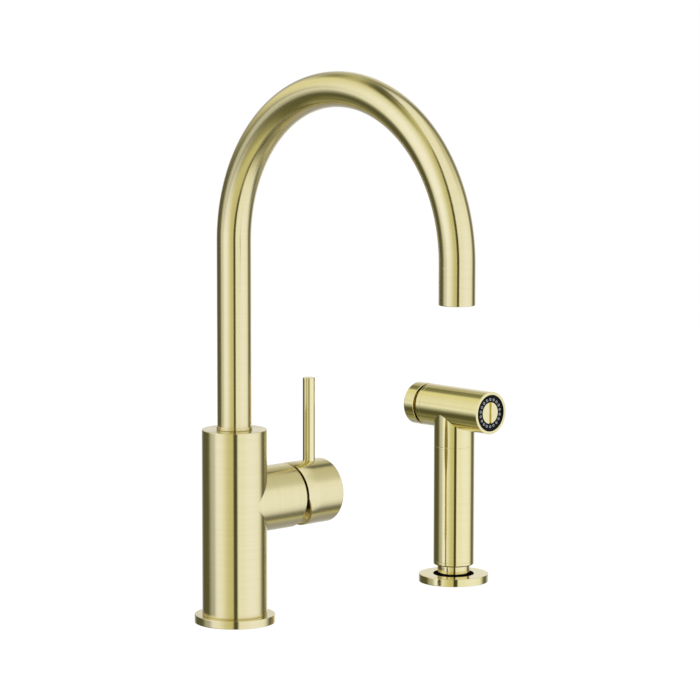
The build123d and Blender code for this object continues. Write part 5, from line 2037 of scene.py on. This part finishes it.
NODE_FINISHES: dict[Finish, tuple[str, ...]] = {
    Finish.BRASS: (
        "stud_nut", "cartridge_nut", "holder_nut", "cartridge_stem", "valve_seat", "valve_plunger",
    ),
    Finish.STEEL: (
        "clamp_plate", "spout_lock_screw", "diverter_spring", "pivot_pin", "handle_grub_screw",
        "swivel_clip", "button_spring",
    ),
    Finish.WHITE_PLASTIC: (
        "swivel_bush", "diverter_housing", "cartridge_base", "cartridge_housing",
        "aerator_insert", "diverter_piston", "cartridge_rotor", "disc_carrier", "water_tube",
    ),
    Finish.BLACK_PLASTIC: ("flow_disc",),
    Finish.BLACK_RUBBER: (
        "base_gasket", "clamp_gasket", "port_seals", "holder_gasket", "holder_washer",
        "spout_seals", "aerator_washer", "connector_seal", "plunger_seals",
    ),
    Finish.CERAMIC: ("fixed_disc", "moving_disc"),
}


def dress_nodes(paints: Paints) -> None:
    """Gives every node that keeps its own mesh a finish.

    Args:
        paints: the materials.
    """
    for finish, nodes in NODE_FINISHES.items():
        for node in nodes:
            paints.put_on_node(node, finish)
        log.info("%s on %s", finish.value.name, ", ".join(nodes))


# ---- studio -----------------------------------------------------------------------------------


@dataclass(frozen=True)
class Panel:
    """One soft panel or dark strip of the studio, by its direction in degrees.

    The azimuth is 0 towards the user, 90 towards the handle and 180 behind the faucet.
    """

    azimuth: float
    elevation: float
    half_width: float
    half_height: float
    side_fade: float
    end_fade: float
    light: Colour
    share: float = 1.0


@dataclass
class Studio:
    """The camera, the panels round the faucet and the floor."""

    effects: Effects
    turn: float = -42.7891
    tilt: float = 7.3598
    distance: float = 2197.718
    aside: float = 47.8339
    height: float = 176.6857
    focal: float = 3437.8841
    centre: float = 309.062
    frame_width: float = 700.0
    sensor_width: float = 36.0
    clip: tuple[float, float] = (0.05, 30.0)
    worktop_radius: float = 1600.0
    worktop_inset: float = 1200.0
    worktop_place: tuple[float, float, float] = (100.0, -100.0, -0.2)
    fill: Colour = (0.75, 0.74, 0.485)
    panels: tuple[Panel, ...] = (
        # grey room behind on the right
        Panel(130, -14, 44, 50, 10, 14, (0.42, 0.42, 0.48)),
        # left softbox, its far end and its bright middle
        Panel(-113, 20, 46, 36, 14, 10, (0.93, 0.96, 0.94)),
        Panel(-172, 31, 22, 15, 14, 8, (0.98, 0.98, 0.8)),
        Panel(-110, 16, 32, 32, 16, 14, (1.1, 1.15, 1.26), 0.85),
        Panel(-106, 10, 20, 28, 15, 15, (1.23, 1.3, 1.72), 0.95),
        # right softbox, the ceiling that it lights and its bright middle
        Panel(17, 16, 49.5, 74, 6, 8, (1.08, 1.13, 1.28)),
        Panel(58, 78, 92, 24, 16, 10, (1.08, 1.13, 1.3)),
        Panel(66, 41, 24, 13, 13, 9, (0.68, 0.69, 0.62), 0.8),
        Panel(21, -6, 21, 24, 16, 18, (1.15, 1.21, 1.57), 0.9),
        # dark ceiling over the left softbox
        Panel(-88, 68, 18, 10, 14, 8, (0.42, 0.42, 0.27), 0.8),
        Panel(-150, 88, 60, 6, 25, 6, (0.18, 0.18, 0.12)),
        Panel(-150, 71, 44, 9, 18, 6, (0.07, 0.07, 0.03)),
        Panel(170, 72, 24, 9, 14, 7, (0.06, 0.06, 0.03)),
        # dark room under the left softbox
        Panel(-105, -42, 12, 22, 10, 10, (0.25, 0.25, 0.15), 0.7),
        Panel(-132, -40, 18, 30, 9, 12, (0.11, 0.11, 0.05)),
        Panel(-165, -60, 25, 10, 14, 8, (0.14, 0.14, 0.09)),
        Panel(-166, -10, 27, 20, 10, 9, (0.12, 0.12, 0.075)),
        Panel(-160, -37, 11, 9, 8, 6, (0.18, 0.18, 0.1)),
        Panel(-174, -43, 10, 5, 7, 5, (0.32, 0.32, 0.19)),
        # dark edge of the right softbox, which leans back as it rises
        Panel(44, -60, 14, 6, 10, 5, (0.2, 0.2, 0.16)),
        Panel(60, -49, 12, 10, 9, 8, (0.13, 0.13, 0.11)),
        Panel(67, -34, 11, 11, 10, 8, (0.1, 0.1, 0.08)),
        Panel(80, -12, 14, 14, 17, 10, (0.12, 0.12, 0.115)),
        Panel(81, 8, 9, 12, 9, 9, (0.17, 0.17, 0.16)),
        Panel(90, 24, 10, 10, 9, 8, (0.2, 0.2, 0.19)),
        Panel(102, 36, 11, 8, 9, 7, (0.15, 0.15, 0.14)),
        Panel(107, 46, 8, 6, 6, 5, (0.05, 0.05, 0.04)),
        Panel(120, 52, 9, 5, 7, 5, (0.13, 0.13, 0.11)),
        Panel(133, 54, 13, 8, 10, 7, (0.13, 0.13, 0.11)),
        Panel(150, 66, 12, 9, 9, 7, (0.12, 0.12, 0.08)),
        # dark beam high behind
        Panel(171, 43, 15, 6, 7, 5, (0.22, 0.22, 0.14)),
        # bright patches behind the left softbox
        Panel(-138, 3, 8, 4, 8, 4, (1.2, 1.23, 1.4), 0.7),
        Panel(-162, 38, 6, 6, 5, 5, (0.98, 0.98, 0.7), 0.8),
        # dark strip between the two softboxes
        Panel(-38.7, 8, 6.9, 50, 2.8, 8, (0.07, 0.07, 0.035)),
        Panel(-47, -60, 8, 14, 5, 6, (0.1, 0.1, 0.055)),
        # dim floor below
        Panel(0, -80, 190, 14, 1, 7, (0.27, 0.27, 0.22)),
        Panel(-45, -76, 24, 8, 14, 7, (0.07, 0.07, 0.045)),
    )
    backdrop: tuple[Panel, ...] = (
        Panel(131, 14, 13, 17, 12, 11, (1.0, 1.0, 1.0), 0.9),
        Panel(127, -8, 20, 18, 14, 16, (1.0, 1.0, 1.0)),
    )

    def camera(self) -> None:
        """Sets the camera at the photograph's place."""
        turn, tilt = math.radians(self.turn), math.radians(self.tilt)
        level = math.cos(tilt)
        right = Vector((math.cos(turn), math.sin(turn), 0))
        ahead = Vector((-math.sin(turn) * level, math.cos(turn) * level, -math.sin(tilt)))
        place = right * self.aside + Vector((0, 0, self.height)) - ahead * self.distance
        data = bpy.data.cameras.new("camera")
        data.sensor_width = self.sensor_width
        data.lens = self.focal / self.frame_width * self.sensor_width
        data.shift_x = (self.frame_width / 2 - self.centre) / self.frame_width
        data.clip_start, data.clip_end = self.clip
        camera = bpy.data.objects.new("camera", data)
        camera.location = place * MM
        camera.rotation_euler = (math.pi / 2 - tilt, 0, turn)
        bpy.context.collection.objects.link(camera)
        bpy.context.scene.camera = camera

    def share_of(
        self, panel: Panel, bench: Bench, direction: bpy.types.NodeSocket
    ) -> bpy.types.NodeSocket:
        """Places one panel's shape in the world.

        Args:
            panel: the panel.
            bench: the world's node bench.
            direction: the socket that gives the direction looked in.

        Returns:
            The share of the light that the panel gives in each direction.
        """
        links = {
            "Direction": direction,
            "Azimuth": panel.azimuth,
            "Elevation": panel.elevation,
            "Half Width": panel.half_width,
            "Half Height": panel.half_height,
            "Side Fade": panel.side_fade,
            "End Fade": panel.end_fade,
        }
        shape = bench.add("ShaderNodeGroup", links, node_tree=self.effects.panel)
        return bench.math("MULTIPLY", shape.outputs["Mask"], panel.share)

    def world(self) -> None:
        """Builds the studio: white to the camera, soft panels to everything else.

        Metal and glass see the white too, where it stands behind the faucet.
        """
        world = bpy.data.worlds.new("studio")
        bpy.context.scene.world = world
        world.use_nodes = True
        tree = world.node_tree
        tree.nodes.clear()
        bench = Bench(tree)
        direction = bench.add("ShaderNodeTexCoord").outputs["Generated"]
        light = rgba(self.fill)
        for panel in self.panels:
            light = bench.blend(self.share_of(panel, bench, direction), light, rgba(panel.light))
        shares = [self.share_of(panel, bench, direction) for panel in self.backdrop]
        path = bench.add("ShaderNodeLightPath").outputs
        mirrored = bench.math("MAXIMUM", path["Is Glossy Ray"], path["Is Transmission Ray"])
        white = bench.math("MULTIPLY", mirrored, bench.math("MAXIMUM", *shares))
        white = bench.math("MAXIMUM", white, path["Is Camera Ray"])
        colour = bench.blend(white, light, (1.0, 1.0, 1.0, 1.0))
        background = bench.add("ShaderNodeBackground", {"Color": colour, "Strength": 1.0})
        bench.add("ShaderNodeOutputWorld", {"Surface": background.outputs[0]})

    def floor(self) -> None:
        """Lays the pale worktop."""
        to_object_mode()
        bpy.ops.mesh.primitive_circle_add(
            vertices=96, radius=self.worktop_radius * MM, fill_type="NGON", location=(0, 0, 0)
        )
        floor = bpy.context.object
        floor.name = floor.data.name = "worktop"
        bpy.ops.object.mode_set(mode="EDIT")
        bpy.ops.mesh.select_all(action="SELECT")
        bpy.ops.mesh.inset(thickness=self.worktop_inset * MM)
        bpy.ops.mesh.select_all(action="SELECT")
        bpy.ops.transform.translate(value=[place * MM for place in self.worktop_place])
        to_object_mode()
        floor.data.materials.append(self.worktop_material())

    def worktop_material(self) -> bpy.types.Material:
        """Builds the worktop's material.

        The camera sees it white, with the faucet's soft shadow. Reflections and shadows pass
        through it, and so does a look from below. All other light meets a pale surface.

        Returns:
            The material.
        """
        material = bpy.data.materials.new("worktop")
        material.use_nodes = True
        tree = material.node_tree
        tree.nodes.clear()
        bench = Bench(tree)
        path = bench.add("ShaderNodeLightPath").outputs
        place = bench.add("ShaderNodeTexCoord").outputs["Object"]
        cloud = bench.add("ShaderNodeTexNoise", {"Vector": place, "Scale": 9.0, "Detail": 3.0})
        tone = bench.blend(cloud.outputs[0], rgba((0.13, 0.13, 0.13)), rgba((0.14, 0.14, 0.14)))
        lit = bench.add("ShaderNodeBsdfDiffuse", {"Color": tone})
        glow = bench.add("ShaderNodeEmission", {"Strength": 0.93})
        seen = bench.add("ShaderNodeAddShader", {0: lit.outputs[0], 1: glow.outputs[0]})
        pale = bench.add("ShaderNodeBsdfDiffuse", {"Color": rgba((0.85, 0.85, 0.85))})
        to_camera = bench.add(
            "ShaderNodeMixShader",
            {0: path["Is Camera Ray"], 1: pale.outputs[0], 2: seen.outputs[0]},
        )
        clear = bench.math("MAXIMUM", path["Is Glossy Ray"], path["Is Shadow Ray"])
        clear = bench.math("MAXIMUM", clear, path["Is Transmission Ray"])
        under = bench.add("ShaderNodeNewGeometry").outputs["Backfacing"]
        clear = bench.math("MAXIMUM", clear, under)
        through = bench.add("ShaderNodeBsdfTransparent")
        choice = bench.add(
            "ShaderNodeMixShader", {0: clear, 1: to_camera.outputs[0], 2: through.outputs[0]}
        )
        bench.add("ShaderNodeOutputMaterial", {"Surface": choice.outputs[0]})
        return material

    def build(self) -> None:
        """Builds the camera, the world and the floor."""
        bpy.context.scene.view_settings.view_transform = "Standard"
        self.camera()
        self.world()
        self.floor()


def main() -> None:
    """Builds the studio and every sub-assembly."""
    logging.basicConfig(level=logging.INFO, format="%(name)s: %(message)s")
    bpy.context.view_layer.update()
    effects = Effects()
    paints = Paints(effects)
    Studio(effects).build()
    for assembly in (
        MixerColumn(),
        Spout(),
        Handle(),
        SprayHolder(),
        Handset(),
        PushButton(),
        SprayFace(),
        Fixings(),
    ):
        log.info("building %s", type(assembly).__name__)
        assembly.build(paints)
    dress_nodes(paints)
    to_object_mode()


if __name__ == "__main__":
    main()
